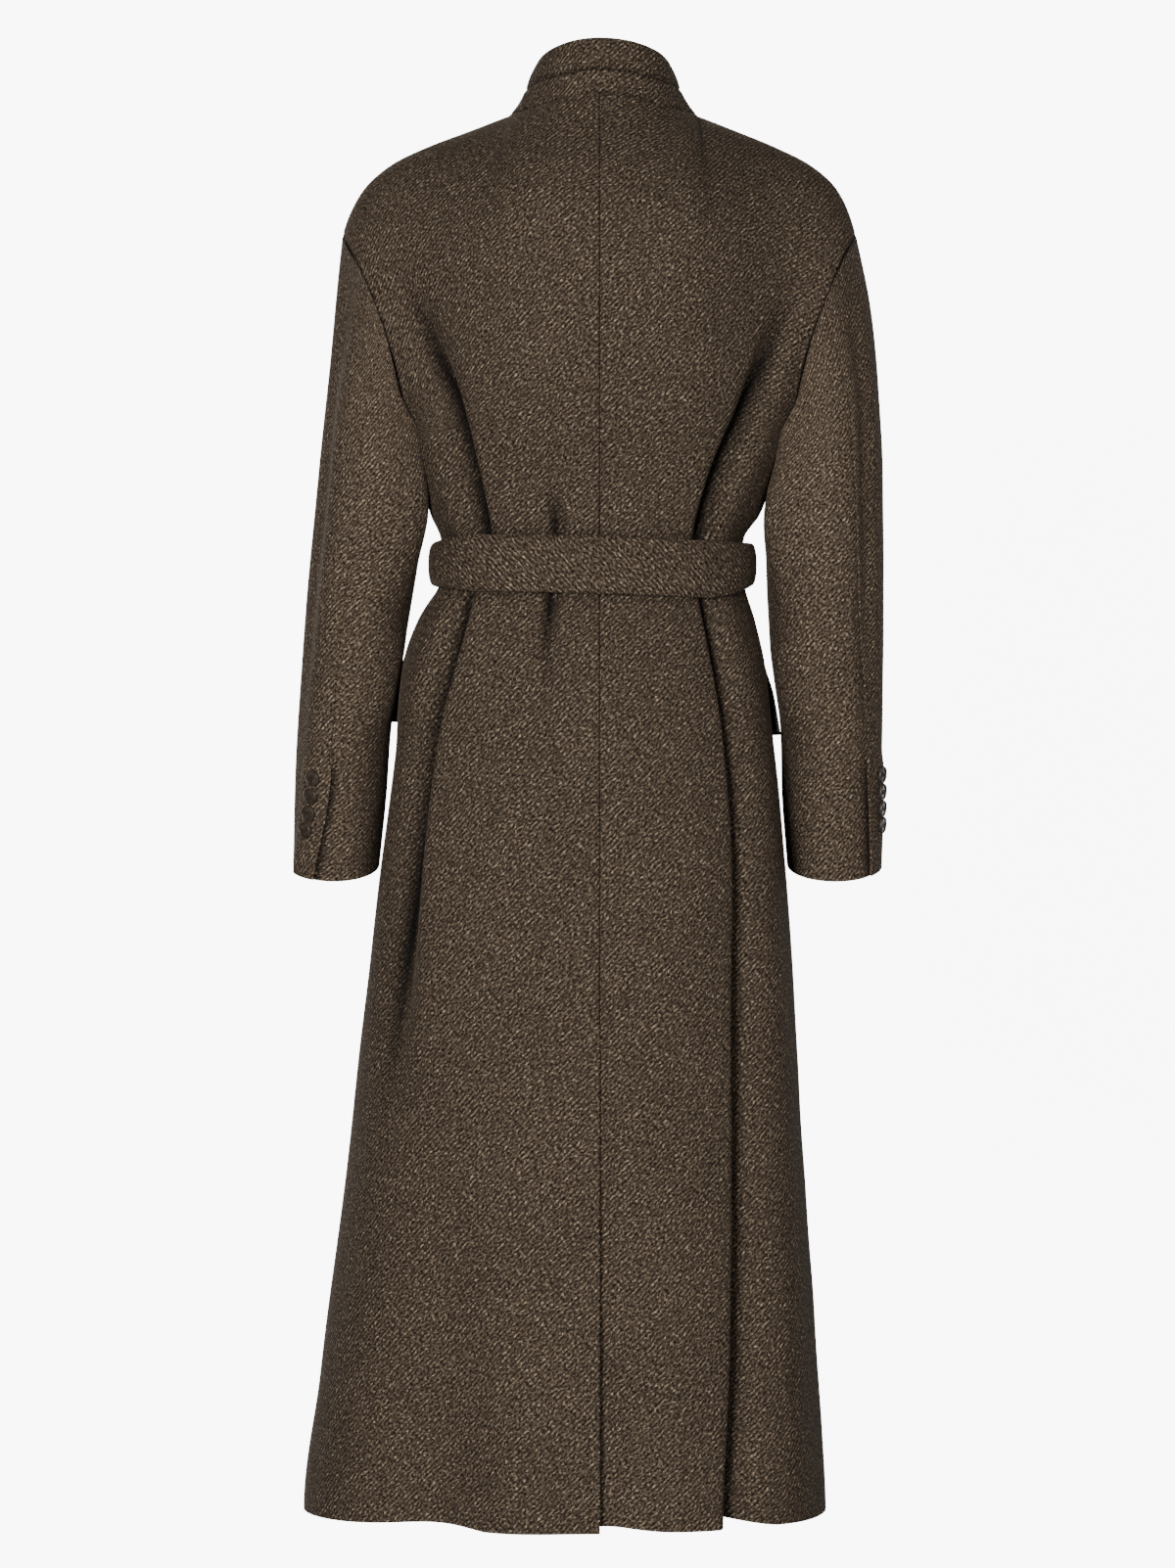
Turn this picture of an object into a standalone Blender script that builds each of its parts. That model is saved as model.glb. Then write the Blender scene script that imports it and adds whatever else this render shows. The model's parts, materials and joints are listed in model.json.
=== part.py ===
"""Belted tweed coat, filled out as worn and hollow inside.

Metres, +Z up. The back of the coat faces -Y and the wearer's left is -X.
The origin lies between the shoulders, level with the two ends of the shoulder seams at the neck.
Every panel is a surface of two running values: `across`, from the centre line (0) to the side
seam or armhole (1), and `up`, from the hem (0) to the underarm (1), to the shoulder blades (2)
and to the neck and shoulder seams (3).
"""

import math
from collections import namedtuple

import bmesh
import bpy
import numpy as np
from mathutils import Vector

# Cloth and seams
WALL = 0.0024
SEAM = 0.00030
BACK, FRONT = -1, 1
LEFT, RIGHT = -1, 1

# Levels of the body, as heights of its centre lines
HEM = -1.238
UNDERARM = -0.290
BLADE = {BACK: -0.120, FRONT: -0.150}
VENT_TOP = -0.806
HEM_LIFT = 0.30
VENT_LAP = 0.16
VENT_START = 0.030
FRONT_LAP = 0.090
FRONT_LAP_AT_NECK = 0.040
LAP_DEPTH = WALL + 0.0022

# Roundness of a section's quarter arcs: the lengths of the two handles as shares of its half sizes
CENTRE_HANDLE = 0.60
SIDE_HANDLE = 0.58

# Half sizes of the body at each height, out to the left, right, back and front
Body = namedtuple("Body", "height left right back front")
BODY = [
    Body(HEM, 0.262, 0.200, 0.180, 0.172),
    Body(-1.116, 0.248, 0.192, 0.173, 0.166),
    Body(-0.942, 0.225, 0.180, 0.162, 0.159),
    Body(-0.768, 0.205, 0.170, 0.151, 0.151),
    Body(-0.672, 0.193, 0.163, 0.143, 0.145),
    Body(-0.568, 0.179, 0.155, 0.132, 0.137),
    Body(-0.464, 0.168, 0.144, 0.115, 0.124),
    Body(-0.442, 0.160, 0.137, 0.105, 0.117),
    Body(-0.432, 0.1475, 0.1312, 0.1022, 0.1128),
    Body(-0.424, 0.1420, 0.1300, 0.1020, 0.1121),
    Body(-0.400, 0.142, 0.130, 0.102, 0.112),
    Body(-0.374, 0.142, 0.130, 0.102, 0.112),
    Body(-0.359, 0.149, 0.141, 0.107, 0.116),
    Body(-0.335, 0.156, 0.151, 0.113, 0.120),
    Body(-0.290, 0.168, 0.168, 0.126, 0.128),
    Body(-0.200, 0.180, 0.180, 0.141, 0.131),
    Body(-0.120, 0.190, 0.190, 0.139, 0.118),
]

# Armhole: a leaning oval between the shoulder tip and the underarm
SHOULDER_TIP = (0.228, -0.107)
ARMHOLE_UNDER = (0.168, UNDERARM)
ARMHOLE_DEPTH = 0.075
SLEEVE_UNDER = (0.1702, UNDERARM + 0.0020)

# Shoulder seam from neck to tip, as seen from behind
ShoulderPoint = namedtuple("ShoulderPoint", "out height")
SHOULDER = [
    ShoulderPoint(0.0835, 0.0),
    ShoulderPoint(0.113, -0.0113),
    ShoulderPoint(0.156, -0.0287),
    ShoulderPoint(0.1885, -0.046),
    ShoulderPoint(0.208, -0.0635),
    ShoulderPoint(0.2225, -0.0896),
    ShoulderPoint(*SHOULDER_TIP),
]
NECK_SHARE = 0.34
NECK_SHIFT = 0.0035
NECK_RISE_AT_CENTRE = math.radians(62)
NECK_RISE_AT_SIDE = math.radians(8)

# Rings of the collar: neck seam, the seam between stand and leaf, and the top edge. The higher its
# peak, the more a ring's rise gathers at centre back
CollarRing = namedtuple("CollarRing", "half_width middle back front rise_back rise_side rise_front peak")
NECK_SEAM = CollarRing(0.0835, 0.010, 0.074, 0.078, 0.013, 0.000, -0.062, 5.0)
COLLAR_SEAM = CollarRing(0.0690, 0.008, 0.066, 0.070, 0.034, 0.023, -0.034, 2.3)
COLLAR_TOP = CollarRing(0.0590, 0.007, 0.060, 0.066, 0.062, 0.045, -0.004, 1.25)
FRONT_PEAK = 1.5
COLLAR_OPENING = math.radians(9)
COLLAR_WALL = 0.0034

# Folds of the body: a trough at a place across, its depth, and its widths towards the centre and the side
Fold = namedtuple("Fold", "height across depth inner outer")
BACK_FOLDS = [
    [  # drape from the left armhole to the belt
        Fold(-0.405, -0.099, 0.000, 0.010, 0.016),
        Fold(-0.376, -0.100, 0.015, 0.010, 0.020),
        Fold(-0.342, -0.106, 0.021, 0.011, 0.024),
        Fold(-0.272, -0.125, 0.021, 0.014, 0.025),
        Fold(-0.203, -0.148, 0.012, 0.018, 0.024),
        Fold(-0.125, -0.172, 0.000, 0.020, 0.022),
    ],
    [  # drape from the right armhole to the belt
        Fold(-0.405, 0.088, 0.000, 0.012, 0.016),
        Fold(-0.376, 0.089, 0.016, 0.012, 0.018),
        Fold(-0.316, 0.107, 0.024, 0.015, 0.022),
        Fold(-0.272, 0.128, 0.022, 0.017, 0.023),
        Fold(-0.220, 0.148, 0.013, 0.018, 0.022),
        Fold(-0.140, 0.172, 0.000, 0.020, 0.022),
    ],
    [  # fold below the belt on the left, dying out in the skirt
        Fold(-0.920, -0.186, 0.000, 0.030, 0.030),
        Fold(-0.800, -0.178, 0.010, 0.024, 0.028),
        Fold(-0.699, -0.168, 0.017, 0.016, 0.026),
        Fold(-0.602, -0.155, 0.020, 0.011, 0.025),
        Fold(-0.542, -0.145, 0.019, 0.010, 0.024),
        Fold(-0.490, -0.130, 0.017, 0.009, 0.022),
        Fold(-0.430, -0.115, 0.011, 0.008, 0.018),
        Fold(-0.400, -0.112, 0.000, 0.008, 0.018),
    ],
    [  # deep fold below the belt on the right, running out at the hem
        Fold(HEM, 0.110, 0.030, 0.010, 0.050),
        Fold(-1.116, 0.116, 0.031, 0.010, 0.046),
        Fold(-0.942, 0.119, 0.030, 0.010, 0.038),
        Fold(-0.768, 0.120, 0.028, 0.010, 0.032),
        Fold(-0.681, 0.121, 0.026, 0.010, 0.028),
        Fold(-0.594, 0.117, 0.023, 0.010, 0.025),
        Fold(-0.507, 0.106, 0.019, 0.009, 0.022),
        Fold(-0.430, 0.091, 0.012, 0.008, 0.018),
        Fold(-0.400, 0.088, 0.000, 0.008, 0.018),
    ],
    [  # short pinch caught under the belt
        Fold(-0.540, -0.043, 0.000, 0.014, 0.018),
        Fold(-0.480, -0.043, 0.003, 0.012, 0.016),
        Fold(-0.430, -0.040, 0.007, 0.009, 0.014),
        Fold(-0.370, -0.036, 0.006, 0.009, 0.013),
        Fold(-0.320, -0.039, 0.000, 0.010, 0.014),
    ],
    [  # wide hollow of the left hem
        Fold(HEM, -0.148, 0.016, 0.050, 0.050),
        Fold(-1.100, -0.138, 0.010, 0.048, 0.042),
        Fold(-0.850, -0.120, 0.000, 0.046, 0.036),
    ],
    [  # swell of the left hem beside the vent
        Fold(HEM, -0.072, -0.010, 0.045, 0.040),
        Fold(-1.060, -0.075, -0.006, 0.045, 0.040),
        Fold(-0.850, -0.080, 0.000, 0.045, 0.040),
    ],
]
FRONT_FOLDS = [
    [  # soft folds of the skirt, one each side
        Fold(HEM, side * 0.158, 0.016, 0.026, 0.034),
        Fold(-0.900, side * 0.142, 0.014, 0.018, 0.024),
        Fold(-0.620, side * 0.126, 0.000, 0.014, 0.018),
    ]
    for side in (LEFT, RIGHT)
] + [
    [  # drapes from the belt towards the armholes
        Fold(-0.405, side * 0.108, 0.000, 0.008, 0.010),
        Fold(-0.376, side * 0.110, 0.006, 0.008, 0.010),
        Fold(-0.300, side * 0.126, 0.009, 0.012, 0.014),
        Fold(-0.190, side * 0.150, 0.000, 0.014, 0.016),
    ]
    for side in (LEFT, RIGHT)
]
VENT_RECESS = [
    Fold(HEM, 0.004, 0.016, 1.0, 0.036),
    Fold(-1.050, 0.003, 0.011, 1.0, 0.030),
    Fold(-0.900, 0.002, 0.006, 1.0, 0.020),
    Fold(VENT_TOP, 0.002, 0.0036, 1.0, 0.014),
    Fold(VENT_TOP + 0.040, 0.002, 0.000, 1.0, 0.014),
]

# Sections of the sleeves from armhole to cuff: the ends of each seen from behind, its middle and
# half depth in Y, how far its back hangs lower, and where the hind seam crosses it
Sleeve = namedtuple("Sleeve", "outer outer_height inner inner_height middle depth drop hind_seam")
SLEEVES = {
    LEFT: [
        Sleeve(*SHOULDER_TIP, *SLEEVE_UNDER, 0.000, ARMHOLE_DEPTH, 0.000, 84),
        Sleeve(0.236, -0.185, 0.1650, -0.318, 0.000, 0.073, 0.000, 82),
        Sleeve(0.246, -0.285, 0.1590, -0.352, 0.000, 0.070, 0.000, 80),
        Sleeve(0.256, -0.385, 0.1620, -0.400, 0.002, 0.067, 0.002, 78),
        Sleeve(0.263, -0.465, 0.1725, -0.465, 0.010, 0.063, 0.005, 76),
        Sleeve(0.269, -0.545, 0.1855, -0.540, 0.024, 0.058, 0.008, 78),
        Sleeve(0.273, -0.610, 0.1905, -0.608, 0.040, 0.054, 0.011, 71),
        Sleeve(0.275, -0.668, 0.1970, -0.668, 0.054, 0.051, 0.014, 57),
    ],
    RIGHT: [
        Sleeve(*SHOULDER_TIP, *SLEEVE_UNDER, 0.000, ARMHOLE_DEPTH, 0.000, 74),
        Sleeve(0.243, -0.185, 0.1645, -0.318, 0.000, 0.073, 0.000, 70),
        Sleeve(0.251, -0.285, 0.1540, -0.352, 0.000, 0.070, 0.000, 64),
        Sleeve(0.253, -0.385, 0.1490, -0.400, 0.002, 0.067, 0.002, 58),
        Sleeve(0.253, -0.465, 0.1515, -0.465, 0.010, 0.063, 0.005, 52),
        Sleeve(0.253, -0.545, 0.1615, -0.540, 0.024, 0.058, 0.008, 46),
        Sleeve(0.252, -0.610, 0.1640, -0.608, 0.040, 0.054, 0.011, 40),
        Sleeve(0.251, -0.668, 0.1690, -0.668, 0.054, 0.051, 0.014, 35),
    ],
}
ARMHOLE_MARK = 18
SLEEVE_START = 0.0045
FORE_SEAM = 236
SLEEVE_SEAM_ANGLE = 0.35
CUFF_VENT_START = 0.745
CUFF_LAP_ANGLE = 7.0
CUFF_LAP_RISE = 0.0036

# Bulge of each sleeve behind the side of the body, where the arm hangs against it
SLEEVE_TUCK = 0.013
TUCK_ANGLE, TUCK_WIDTH = 138, 26
TUCK_START, TUCK_END = (0.04, 0.18), (0.56, 0.42)

# Crease down the outer side of each sleeve
SleeveFold = namedtuple("SleeveFold", "along angle depth width")
SLEEVE_FOLD = [
    SleeveFold(0.00, 30, 0.000, 12),
    SleeveFold(0.18, 29, 0.004, 12),
    SleeveFold(0.50, 27, 0.005, 13),
    SleeveFold(0.72, 26, 0.002, 14),
    SleeveFold(0.85, 26, 0.000, 14),
]

# Belt
BELT_HEIGHT = -0.400
BELT_THICK = 0.0052
BELT_CLEARANCE = 0.0016
BELT_WIDTH_BACK, BELT_WIDTH_SIDE, BELT_WIDTH_FRONT = 0.050, 0.037, 0.046
BELT_DIP, BELT_TILT = 0.0045, 0.030
BELT_CROWN = 0.0012
KNOT_SIZE = (0.036, 0.020, 0.054)
TAIL_CLEARANCE = 0.0010
BeltEnd = namedtuple("BeltEnd", "name left right low")
BELT_ENDS = [
    BeltEnd("belt_end_left", -0.062, -0.008, -0.690),
    BeltEnd("belt_end_right", 0.004, 0.058, -0.725),
]

# Pocket flaps, on the fronts beside the side seams
FLAP_HEIGHT = 0.062
FLAP_ACROSS = (0.42, 0.965)
FLAP_TOP = {LEFT: -0.478, RIGHT: -0.490}
FLAP_WALL = 0.0026
FLAP_LIFT_TOP = 0.0004
FLAP_LIFT_BOTTOM = {LEFT: 0.0018, RIGHT: 0.0045}

# Cuff buttons
BUTTON_RADIUS = 0.0075
BUTTON_THICK = 0.0032
BUTTON_RIM = 0.0016
BUTTON_DISH = 0.0009
BUTTON_CLEARANCE = 0.0004
BUTTON_FIRST, BUTTON_PITCH, BUTTON_COUNT = 0.793, 0.0345, 4
BUTTON_FROM_EDGE = 21.0

CLOTH_COLOUR = (0.075, 0.052, 0.036, 1.0)
BUTTON_COLOUR = (0.030, 0.022, 0.018, 1.0)
STEP = 1e-3


def smooth(value, places, sizes):
    """A smooth curve through sizes at rising places, held level beyond its ends."""
    places, sizes = np.asarray(places, float), np.asarray(sizes, float)
    slopes = np.gradient(sizes, places)
    slopes[0] = slopes[-1] = 0.0
    value = np.clip(value, places[0], places[-1])
    i = np.clip(np.searchsorted(places, value) - 1, 0, len(places) - 2)
    span = places[i + 1] - places[i]
    s = (value - places[i]) / span
    rise = s * s * (3 - 2 * s)
    bend_in = s * (1 - s) ** 2 * span * slopes[i]
    bend_out = s * s * (s - 1) * span * slopes[i + 1]
    return sizes[i] + (sizes[i + 1] - sizes[i]) * rise + bend_in + bend_out


def read(table, key, name, value):
    """A named column of a table, at any value of its key column."""
    rows = sorted(table, key=lambda row: getattr(row, key))
    return smooth(value, [getattr(r, key) for r in rows], [getattr(r, name) for r in rows])


def ease(value, start, end):
    """0 before start, 1 after end, and a soft step between them."""
    s = np.clip((value - start) / (end - start), 0.0, 1.0)
    return s * s * (3 - 2 * s)


def points(x, y, z):
    return np.stack(np.broadcast_arrays(x, y, z), axis=-1).astype(float)


def bezier(p0, p1, p2, p3, s):
    s = np.asarray(s)[..., None]
    return p0 * (1 - s) ** 3 + 3 * p1 * s * (1 - s) ** 2 + 3 * p2 * s**2 * (1 - s) + p3 * s**3


def unit(vectors):
    return vectors / np.maximum(np.linalg.norm(vectors, axis=-1, keepdims=True), 1e-12)


def collar_ring(ring, turn):
    """A point of a collar ring at a turn from centre back, positive towards the right."""
    c, s = np.cos(turn), np.sin(turn)
    depth = np.where(c > 0, ring.back, ring.front)
    back = (ring.rise_back - ring.rise_side) * np.maximum(c, 0) ** ring.peak
    front = (ring.rise_front - ring.rise_side) * np.maximum(-c, 0) ** FRONT_PEAK
    rise = ring.rise_side + back + front
    return points(ring.half_width * s + NECK_SHIFT * np.abs(s), ring.middle - depth * c, rise)


def armhole(side, face, angle):
    """The armhole's edge, from the shoulder tip (0) round to the underarm (pi)."""
    tip, under = np.array(SHOULDER_TIP), np.array(ARMHOLE_UNDER)
    middle, lean = (tip + under) / 2, (tip - under) / 2
    x = side * (middle[0] + lean[0] * np.cos(angle))
    z = middle[1] + lean[1] * np.cos(angle)
    return points(x, face * ARMHOLE_DEPTH * np.sin(angle), z)


def top_edge(face, side, across):
    """The panel's top edge: half the back or front neck, then the shoulder seam."""
    centre = 0.0 if face == BACK else math.pi
    turn = centre + (math.pi / 2 - centre) * np.clip(across / NECK_SHARE, 0, 1)
    neck = collar_ring(NECK_SEAM, side * turn)
    out = np.array([p.out for p in SHOULDER])
    height = np.array([p.height for p in SHOULDER])
    run = np.concatenate([[0], np.cumsum(np.hypot(np.diff(out), np.diff(height)))])
    share = np.clip((across - NECK_SHARE) / (1 - NECK_SHARE), 0, 1)
    x = side * smooth(share * run[-1], run, out) + NECK_SHIFT * (1 - share)
    y = NECK_SEAM.middle * (1 - share)
    shoulder = points(x, y, smooth(share * run[-1], run, height))
    return np.where((across < NECK_SHARE)[..., None], neck, shoulder)


def section(face, side, across, up):
    """A point of a panel without its folds, from the hem to the shoulder blades."""
    climb = np.clip(up - 1, 0, 1)
    low = HEM + np.clip(up, 0, 1) * (UNDERARM - HEM)
    height = low + climb * (BLADE[face] - UNDERARM)
    depth = read(BODY, "height", "back" if face == BACK else "front", height)
    half = np.where(side < 0, read(BODY, "height", "left", low), read(BODY, "height", "right", low))
    seam = points(side * half, 0.0, low)
    arm = armhole(side, face, math.pi * (1 - climb / 2))
    edge = np.where((up > 1)[..., None], arm, seam)
    centre = points(0.0 * depth, face * depth, height)
    reach = np.abs(edge[..., 0])
    first = centre + points(side * CENTRE_HANDLE * reach, 0.0, 0.0)
    turn = climb * math.pi / 2
    arrive = points(side * np.sin(turn), -face * np.cos(turn), 0.0)
    last = edge - arrive * (SIDE_HANDLE * depth * (1 - 0.25 * climb))[..., None]
    return bezier(centre, first, last, edge, across)


def panel(face, side, across, up):
    """A point of a panel without its folds. Below 0 across it runs on over the other half."""
    side = np.where(across < 0, -side, side)
    across = np.abs(across)
    start = section(face, side, across, np.minimum(up, 2.0))
    level = np.full_like(across, 2.0)
    rising = (section(face, side, across, level) - section(face, side, across, level - STEP)) / STEP
    end = np.where(
        (side > 0)[..., None], top_edge(face, RIGHT, across), top_edge(face, LEFT, across)
    )
    to_neck = ease(across, NECK_SHARE, 0.0)
    tilt = NECK_RISE_AT_SIDE * ease(across, 0.75, NECK_SHARE)
    tilt = tilt + (NECK_RISE_AT_CENTRE - NECK_RISE_AT_SIDE) * to_neck
    blade = section(face, side, across, level)
    roll = 0.55 * np.abs(end[..., 1] - blade[..., 1]) + 0.012 * to_neck
    arrive = points(0.0, -face * np.cos(tilt), np.sin(tilt))
    yoke = bezier(
        blade, blade + rising * 0.35, end - arrive * roll[..., None], end, np.clip(up - 2, 0, 1)
    )
    return np.where((up > 2)[..., None], yoke, start)


def fold_depth(folds, x, z):
    """How far the folds move the cloth out (in is negative) at a place seen from behind."""
    moved = np.zeros_like(x)
    for fold in folds:
        place = read(fold, "height", "across", z)
        away = (x - place) * np.sign(place)
        width = np.where(
            away > 0, read(fold, "height", "outer", z), read(fold, "height", "inner", z)
        )
        moved = moved - read(fold, "height", "depth", z) * np.exp(-((away / width) ** 2))
    return moved


def normals(surface, across, up, outwards):
    """Outward unit normals of a surface of two running values."""
    ahead = surface(np.minimum(across + STEP, 1.0), up) - surface(across - STEP, up)
    above = surface(across, np.minimum(up + STEP, 3.0)) - surface(across, np.maximum(up - STEP, 0))
    return unit(np.cross(ahead, above)) * outwards


def body_panel(face, side, offset=None):
    """The surface of one of the four body panels, with its folds."""
    folds = BACK_FOLDS if face == BACK else FRONT_FOLDS
    outwards = -face * side

    def bare(across, up):
        return panel(face, side, across, up)

    def surface(across, up):
        base = bare(across, up)
        x, z = base[..., 0], base[..., 2]
        moved = fold_depth(folds, x, z) * ease(across, 1.0, 0.93)
        if offset is not None:
            moved = moved + offset(x, z)
        made = base + normals(bare, across, up, outwards) * moved[..., None]
        made[..., 2] += HEM_LIFT * np.maximum(-moved, 0) * ease(z, HEM + 0.15, HEM)
        return made

    return surface, outwards


def vent_offset(x, z):
    """The right back runs in under the left one below the top of the vent."""
    return fold_depth([VENT_RECESS], x, z)


def lap_offset(x, z):
    """The left front lies under the right one where they lap."""
    return -LAP_DEPTH * ease(x, -FRONT_LAP - 0.030, -FRONT_LAP - 0.010)


def shell(name, outer, inner, material):
    """A closed wall between two grids of points."""
    rows, columns = outer.shape[:2]
    mesh = bmesh.new()
    faces = []
    sheets = [
        [[mesh.verts.new(grid[i, j]) for j in range(columns)] for i in range(rows)]
        for grid in (outer, inner)
    ]
    for sheet in sheets:
        for i in range(rows - 1):
            for j in range(columns - 1):
                faces.append((sheet[i][j], sheet[i][j + 1], sheet[i + 1][j + 1], sheet[i + 1][j]))
    out, back = sheets
    for i in range(rows - 1):
        for j in (0, columns - 1):
            faces.append((out[i][j], out[i + 1][j], back[i + 1][j], back[i][j]))
    for j in range(columns - 1):
        for i in (0, rows - 1):
            faces.append((out[i][j], out[i][j + 1], back[i][j + 1], back[i][j]))
    for face in faces:
        mesh.faces.new(face)
    bmesh.ops.recalc_face_normals(mesh, faces=mesh.faces)
    return finish(name, mesh, material)


def finish(name, mesh, material):
    data = bpy.data.meshes.new(name)
    mesh.to_mesh(data)
    mesh.free()
    data.materials.append(material)
    data.shade_smooth()
    data.set_sharp_from_angle(angle=math.radians(50))
    made = bpy.data.objects.new(name, data)
    bpy.context.scene.collection.objects.link(made)
    return made


def drawn_in(values, share, axis):
    """Running values drawn in towards the middle of their own range."""
    first, last = np.take(values, [0], axis), np.take(values, [-1], axis)
    middle = (first + last) / 2
    return middle + (values - middle) * (1 - share)


def cloth_wall(name, surface, outwards, across, up, material, wall=WALL, lift=0.0, inset=(0.018, 0.0022)):
    """A cloth wall on a surface, lifted off it and thickened inwards.

    The inner face stops short of every edge, so that pieces that meet at an angle stay apart.
    """
    lift = np.broadcast_to(np.asarray(lift, float), across.shape)[..., None]
    out = normals(surface, across, up, outwards)
    outer = surface(across, up) + out * lift
    inner = surface(drawn_in(across, inset[0], 1), drawn_in(up, inset[1], 0)) + out * (lift - wall)
    return shell(name, outer, inner, material)


def body_levels(face):
    """Running values up a panel, closer together round the belt and at the shoulders."""
    skirt = np.linspace(HEM, VENT_TOP - VENT_START, 5)
    hips = np.linspace(VENT_TOP, -0.500, 5)
    waist = np.array([-0.462, -0.440, -0.428, -0.400, -0.373, -0.360, -0.335, -0.312])
    heights = np.concatenate([skirt, hips, waist])
    below = (heights - HEM) / (UNDERARM - HEM)
    above = np.concatenate([np.linspace(1.0, 2.0, 6), np.linspace(2.0, 3.0, 6)[1:]])
    above[-1] -= 0.5 * SEAM / 0.10
    return np.concatenate([below, above])


def trough_share(face, side, up):
    """Share across of the deepest trough at each level, so that columns of points follow it."""
    heights = HEM + np.minimum(up, 1) * (UNDERARM - HEM)
    heights = heights + np.clip(up - 1, 0, 1) * (BLADE[face] - UNDERARM)
    folds = BACK_FOLDS if face == BACK else FRONT_FOLDS
    mine = [f for f in folds[:4] if np.sign(f[0].across) == side]
    stations = sorted(
        (s.height, abs(s.across)) for f in mine for s in f if abs(s.height - BELT_HEIGHT) > 0.006
    )
    place = np.interp(heights, *zip(*stations))
    fine = np.linspace(0.0, 1.0, 81)
    share = []
    for level, x in zip(up, place):
        row = panel(face, side, fine, np.full_like(fine, min(level, 2.0)))
        share.append(np.interp(x, np.abs(row[:, 0]), fine))
    return np.clip(share, 0.30, 0.86)


def panel_grid(face, side, start, count):
    """Running values of a panel's points: columns meet the neck's corner and gather round the trough."""
    up = body_levels(face)
    trough = trough_share(face, side, up)
    left = 0.5 * SEAM / 0.20
    rows = []
    for first, middle in zip(start(up) + left, trough):
        near, far = middle - 0.10, middle + 0.13
        marks = [first, min(NECK_SHARE, 0.8 * near), near, far, 1.0 - left]
        runs = [np.linspace(a, b, n + 1)[:-1] for a, b, n in zip(marks, marks[1:], count)]
        rows.append(np.concatenate(runs + [marks[-1:]]))
    across = np.array(rows)
    return across, np.broadcast_to(up[:, None], across.shape)


def share_at(face, side, up, x):
    """Share across at which each level reaches a distance from the centre line."""
    fine = np.linspace(0.0, 0.8, 81)
    found = []
    for level, distance in zip(up, np.broadcast_to(x, np.shape(up))):
        row = panel(face, side, fine, np.full_like(fine, level))
        found.append(np.interp(distance, np.abs(row[:, 0]), fine))
    return np.array(found)


def backs(cloth):
    def level_height(up):
        return HEM + np.minimum(up, 1.0) * (UNDERARM - HEM)

    def closed(up):
        return np.zeros_like(up)

    def lapped(up):
        return -VENT_LAP * ease(level_height(up), VENT_TOP - 0.001, VENT_TOP - VENT_START)

    for name, side, start, offset in (
        ("back_left", LEFT, closed, None),
        ("back_right", RIGHT, lapped, vent_offset),
    ):
        surface, outwards = body_panel(BACK, side, offset)
        across, up = panel_grid(BACK, side, start, (5, 3, 7, 4))
        cloth_wall(name, surface, outwards, across, up, cloth)


def fronts(cloth):
    def edge(side):
        def start(up):
            width = FRONT_LAP + (FRONT_LAP_AT_NECK - FRONT_LAP) * ease(up, 1.3, 3.0)
            return -share_at(FRONT, -side, up, width)

        return start

    for name, side, offset in (
        ("front_left", LEFT, lap_offset),
        ("front_right", RIGHT, None),
    ):
        surface, outwards = body_panel(FRONT, side, offset)
        across, up = panel_grid(FRONT, side, edge(side), (7, 2, 3, 2))
        cloth_wall(name, surface, outwards, across, up, cloth)


def collar(cloth):
    turns = np.linspace(-math.pi + COLLAR_OPENING, math.pi - COLLAR_OPENING, 49)
    for name, low, high, rows, seams in (
        ("collar_stand", NECK_SEAM, COLLAR_SEAM, 3, 3.0),
        ("collar_leaf", COLLAR_SEAM, COLLAR_TOP, 4, 1.6),
    ):
        foot = seams * SEAM / 0.030
        climb = np.linspace(foot, 1.0 - 0.8 * SEAM / 0.030, rows)

        def surface(turn, share, low=low, high=high):
            start, end = collar_ring(low, turn * math.pi), collar_ring(high, turn * math.pi)
            return start + (end - start) * share[..., None]

        turn, share = np.meshgrid(turns / math.pi, climb)
        cloth_wall(name, surface, 1, turn, share, cloth, wall=COLLAR_WALL, inset=(0.010, 0.10))


def sleeve_surface(side, lap=False):
    """A sleeve: degrees round it from the outer side (0) by the back (90), and share along it."""
    table = SLEEVES[side]
    index = np.arange(len(table))
    columns = {name: [getattr(row, name) for row in table] for name in Sleeve._fields}

    def at(name, along):
        curve = np.interp if name == "hind_seam" else smooth_through
        return curve(along * index[-1], index, columns[name])

    def surface(angle, along):
        turn = np.radians(angle)
        c, s = np.cos(turn), np.sin(turn)
        outer = points(at("outer", along), 0.0, at("outer_height", along))
        inner = points(at("inner", along), 0.0, at("inner_height", along))
        ring = (outer + inner) / 2 + (outer - inner) / 2 * c[..., None]
        depth = at("depth", along)
        away = angle - read(SLEEVE_FOLD, "along", "angle", along)
        crease = read(SLEEVE_FOLD, "along", "depth", along)
        crease = crease * np.exp(-((away / read(SLEEVE_FOLD, "along", "width", along)) ** 2))
        rise = -crease
        if lap:
            edge = at("hind_seam", along)
            rise = rise + CUFF_LAP_RISE * ease(angle, edge - 44, edge - 26) * ease(
                along, CUFF_VENT_START - 0.06, CUFF_VENT_START
            )
        outward = unit(points(c / np.maximum(np.abs(outer - inner)[..., 0] / 2, 0.02), -s / depth, 0.0))
        behind = np.exp(-(((angle - TUCK_ANGLE) / TUCK_WIDTH) ** 2))
        behind = behind * ease(along, *TUCK_START) * ease(along, *TUCK_END)
        x = ring[..., 0] + outward[..., 0] * rise - SLEEVE_TUCK * behind
        y = at("middle", along) - depth * s + outward[..., 1] * rise
        z = ring[..., 2] - at("drop", along) * s
        return points(side * x, y, z)

    return surface, at


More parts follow.
